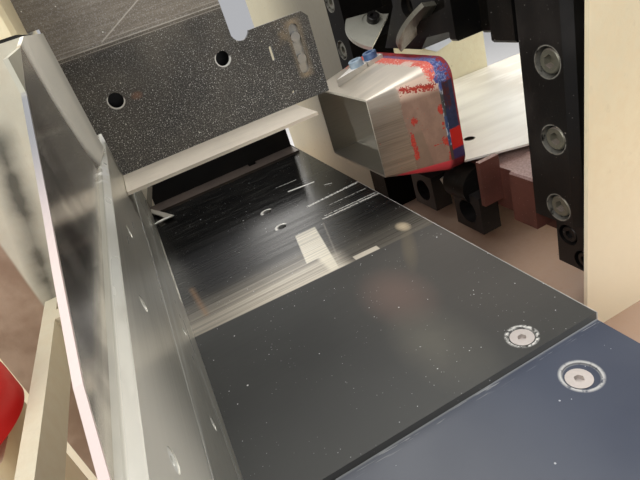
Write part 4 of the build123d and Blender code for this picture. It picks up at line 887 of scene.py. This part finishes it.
def lug_screw_look():
    look = Look("lug_screw_paint")
    cloud = look.noise(6, 3).rise(0.35, 0.65)
    front = look.colour(cloud, (0.36, 0.44, 0.5), (0.26, 0.34, 0.42))
    rear = look.colour(cloud, (0.1, 0.17, 0.32), (0.05, 0.1, 0.22))
    rubbed_top = look.facing("Z") * look.noise(2, 3).rise(0.35, 0.6) * 0.45
    body = look.layers(front, (look.x.rise(234.5, 237), rear), (rubbed_top, (0.46, 0.54, 0.62)))
    return look.done(body, 0.42, 0.1, look.noise(2.0, 3), 0.02)


dress(lug_look(), "die_lug")
dress(lug_screw_look(), "lug_screws")
print("lug dressed")

# %% [markdown]
# The rest are quick finishes: brown primer on the packing pieces and the stop bar, a bright sheet for the
# outfeed, rubber, and moulded plastic for the buttons.


# %% Small finishes
def plain(name, colour, roughness, metallic=0.0, grain=3.0, depth=0.03, darker=0.7, coat=0.0, dust=0.0):
    """One colour with a soft cloud in it, and dust that settles on top when asked."""
    look = Look(name)
    cloud = look.noise(30, 4).rise(0.35, 0.7)
    body = look.colour(cloud, colour, shade(colour, darker))
    if dust:
        flecks = look.specks(4.5, 0.1).most(look.noise(2.2, 4, (3, 3, 1), 0.7).rise(0.6, 0.72) * 0.6)
        settled = look.facing("Z") * (0.45 + look.noise(1.6, 3, (1, 8, 3), 0.7).rise(0.35, 0.65) * 0.55)
        body = look.colour((flecks * dust).most(settled * (dust * 3.0)).least(1.0), body, (0.56, 0.42, 0.385))
    return look.done(body, roughness + cloud * 0.1, metallic, look.noise(grain, 3), depth, coat)


def tray_look():
    """Bright sheet, duller towards both ends, with one dark hole in its floor."""
    look = Look("tray_sheet")
    soft = look.noise((130, 26, 60), 4, (2, 2, 5), 0.55).rise(0.32, 0.68)
    rub = look.noise((70, 16, 20), 3, (6, 1, 1)).rise(0.5, 0.75)
    body = look.layers(
        look.colour(soft, (0.88, 0.865, 0.8), (0.74, 0.72, 0.66)),
        (look.x.rise(385, 450) * 0.75, (0.5, 0.46, 0.385)),
        (look.x.rise(360, 290) * 0.35, (0.66, 0.58, 0.52)),
        (rub * 0.6, (0.88, 0.86, 0.8)),
        (look.ring(303, 243, 4.6, 2.6).boosted(1.6), (0.02, 0.018, 0.016)))
    return look.done(body, 0.36 + soft * 0.12, 0.3, look.noise((80, 4, 4), 3), 0.03)


dress(plain("brown_steel", (0.115, 0.042, 0.031), 0.4, 0.2, dust=0.18), "packing_blocks", "lower_beam")
dress(plain("stop_bar_brown", (0.085, 0.066, 0.052), 0.42, 0.2, dust=0.03), "rear_stop_bar")
dress(tray_look(), "outfeed_tray")
dress(plain("buffer_rubber", (0.018, 0.018, 0.018), 0.62), "hold_down_buffer")
dress(plain("red_plastic", (0.62, 0.002, 0.004), 0.42, 0.0, 8.0, 0.01, 0.85), "stop_button")
dress(plain("green_plastic", (0.02, 0.22, 0.08), 0.28, 0.0, 8.0, 0.01, 0.85, 0.4),
      "start_button_left", "start_button_right")
dress(plain("black_plastic", (0.02, 0.02, 0.02), 0.42), "main_switch")
dress(plain("screw_olive", (0.215, 0.205, 0.155), 0.36, 0.55, 2.0, 0.02, 0.75, dust=0.15), "frame_bar_screws")
floor.data.materials.append(plain("studio_floor_paint", (0.8, 0.79, 0.77), 0.8, 0.0, 20.0, 0.0, 0.98))
print("all nodes dressed:", all(nodes[name].data.materials for name in nodes))

# %% [markdown]
# Small sheet pieces are easiest to draw as an outline: a circle with one vertex for each corner, whose vertices go
# to the outline's corners, extruded to the sheet's thickness and given a fine bevel.


# %% Sheet pieces
def select_none():
    if bpy.context.object and bpy.context.object.mode != "OBJECT":
        bpy.ops.object.mode_set(mode="OBJECT")
    bpy.ops.object.select_all(action="DESELECT")


def bevelled(piece, width):
    """Bevels a piece's sharp edges; the limit ANGLE leaves the flat ones alone."""
    bpy.ops.object.modifier_add(type="BEVEL")
    bevel = piece.modifiers[-1]
    bevel.width = width
    bevel.segments = 2
    bevel.limit_method = "ANGLE"
    bpy.ops.object.modifier_apply(modifier=bevel.name)
    return piece


def sheet_piece(name, corners, depth, bevel=0.0002):
    """A flat piece: corners of the drawing in order, and the extrusion as a vector in millimetres."""
    select_none()
    bpy.ops.mesh.primitive_circle_add(vertices=len(corners), fill_type="NGON")
    piece = bpy.context.object
    piece.name = name
    for vertex, corner in zip(piece.data.vertices, corners):
        vertex.co = at(*corner)
    bpy.ops.object.mode_set(mode="EDIT")
    bpy.ops.mesh.select_all(action="SELECT")
    bpy.ops.mesh.extrude_region_move(TRANSFORM_OT_translate={"value": tuple(d / 1000 for d in depth)})
    bpy.ops.mesh.select_all(action="SELECT")
    bpy.ops.mesh.normals_make_consistent(inside=False)
    bpy.ops.object.mode_set(mode="OBJECT")
    return bevelled(piece, bevel)


def finish_piece(piece, body, material):
    """The same closing lines for every added piece."""
    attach(piece, body)
    piece.data.materials.clear()
    piece.data.materials.append(material)
    return piece


print("sheet tools ready")

# %% [markdown]
# The corner behind the fence gets a pale upright plate, whose bright cream is painted light seen from behind, a
# narrow strip that slants across it, and the bent toe that keeps sheets out of the gap. They replace the plain
# deflector, and a pale plate goes on the far wall.

# %% The corner and the far wall
gap_corners = [(0.3, 442.6, 3.1), (6.4, 442.6, 3.1), (8.0, 442.6, 27.0), (0.3, 442.6, 27.0)]
strip_corners = [(0.3, 441.2, 3.2), (2.6, 441.2, 3.2), (13.2, 441.2, 25.0), (8.3, 441.2, 26.5), (0.3, 441.2, 12.0)]
outer_corners = [(0.3, 433.0, 3.2), (21.5, 380.0, 3.2), (11.6, 385.0, 3.2), (0.3, 417.0, 3.2)]
inner_corners = [(11.6, 385.0, 3.2), (21.5, 380.0, 3.2), (0.3, 378.6, 3.2), (0.3, 381.4, 3.2)]
far_corners = [(403.5, 438.9, 65.8), (435.5, 438.9, 63.0), (436.3, 438.9, 47.5), (411.7, 438.9, 42.8),
               (394.9, 438.9, 52.0)]
gap_plate = sheet_piece("corner_gap_plate", gap_corners, (0, -1.0, 0))
slant_strip = sheet_piece("corner_slant_strip", strip_corners, (0, -1.2, 0))
toe_outer = sheet_piece("corner_toe_long", outer_corners, (0, 0, 1.2))
toe_inner = sheet_piece("corner_toe_short", inner_corners, (0, 0, 1.2))
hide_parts("corner_deflector")
strip_grey = steel("strip_grey", (0.4, 0.37, 0.31), 0.42, (3, 30, 30), 0.02, 0.2, 0.3)
# The pale plate in the gap is bright as painted light seen from behind.
painted_backlight = plain("painted_backlight", (0.92, 0.86, 0.72), 0.5, 0.0, 3.0, 0.02, 0.9)
finish_piece(gap_plate, "machine", painted_backlight)
for piece in (slant_strip, toe_outer):
    finish_piece(piece, "machine", strip_grey)
finish_piece(toe_inner, "machine", blade_steel)
far_plate_sheet = plain("far_plate_sheet", (0.6, 0.64, 0.72), 0.35, 0.3, 2.0, 0.03, 0.85)
far_plate = sheet_piece("far_wall_plate", far_corners, (0, -2.0, 0), 0.0004)
finish_piece(far_plate, "machine", far_plate_sheet)
sheets = (gap_plate, slant_strip, toe_outer, toe_inner, far_plate)
print("sheet pieces", [len(piece.data.polygons) for piece in sheets])

# %% [markdown]
# Button head screws hold the service panels, and hexagon nuts lock the levelling feet. Each is a short cylinder
# with a bevelled rim; a screw's outer face is inset and pushed in for its socket. All of a kind become one piece.

# %% Screws and nuts
SCREW_HEAD = {"radius": 7, "depth": 3.2, "sides": 24, "socket": 3.4}
FOOT_NUT = {"radius": 17, "depth": 10, "sides": 6}
TO_FRONT, TO_LEFT = (math.radians(90), 0, 0), (0, math.radians(-90), 0)


def turned_part(place, radius, depth, sides, rotation=(0, 0, 0), socket=0.0):
    """A short cylinder in millimetres at a place, with a socket in the end that looks along its axis."""
    select_none()
    bpy.ops.mesh.primitive_cylinder_add(vertices=sides, radius=radius / 1000, depth=depth / 1000,
                                        location=at(*place), rotation=rotation)
    part = bpy.context.object
    bpy.ops.object.mode_set(mode="EDIT")
    bpy.ops.mesh.select_all(action="DESELECT")
    bpy.ops.object.mode_set(mode="OBJECT")
    for face in part.data.polygons:
        face.select = bool(socket) and face.normal.z > 0.9
    if socket:
        bpy.ops.object.mode_set(mode="EDIT")
        bpy.ops.mesh.select_mode(type="FACE")
        bpy.ops.mesh.inset(thickness=(radius - socket) / 1000)
        push = {"value": (0, 0, -depth * 0.6 / 1000), "orient_type": "NORMAL"}
        bpy.ops.mesh.extrude_region_move(TRANSFORM_OT_translate=push)
        bpy.ops.object.mode_set(mode="OBJECT")
    bpy.ops.object.transform_apply(location=True, rotation=True, scale=True)
    return part


def joined(name, parts):
    """One piece made of several parts, its sharp edges bevelled."""
    select_none()
    for part in parts:
        part.select_set(True)
    bpy.context.view_layer.objects.active = parts[0]
    bpy.ops.object.join()
    piece = bpy.context.object
    piece.name = name
    return bevelled(piece, 0.0006)


panel_parts = []
for z in (-642.0, -238.0):
    for x in (-342.0, 75.0, 492.0):
        panel_parts.append(turned_part((x, -290.6, z), rotation=TO_FRONT, **SCREW_HEAD))
    for y in (-193.0, 224.0, 641.0):
        panel_parts.append(turned_part((-439.6, y, z), rotation=TO_LEFT, **SCREW_HEAD))
panel_screws = finish_piece(joined("panel_screws", panel_parts), "machine", screw_steel)
nut_parts = [turned_part((x, y, -857.0), **FOOT_NUT) for x in (-340, 490) for y in (-191, 639)]
foot_nuts = finish_piece(joined("foot_nuts", nut_parts), "machine", black_oxide)
print("screws and nuts", len(panel_screws.data.polygons), len(foot_nuts.data.polygons))
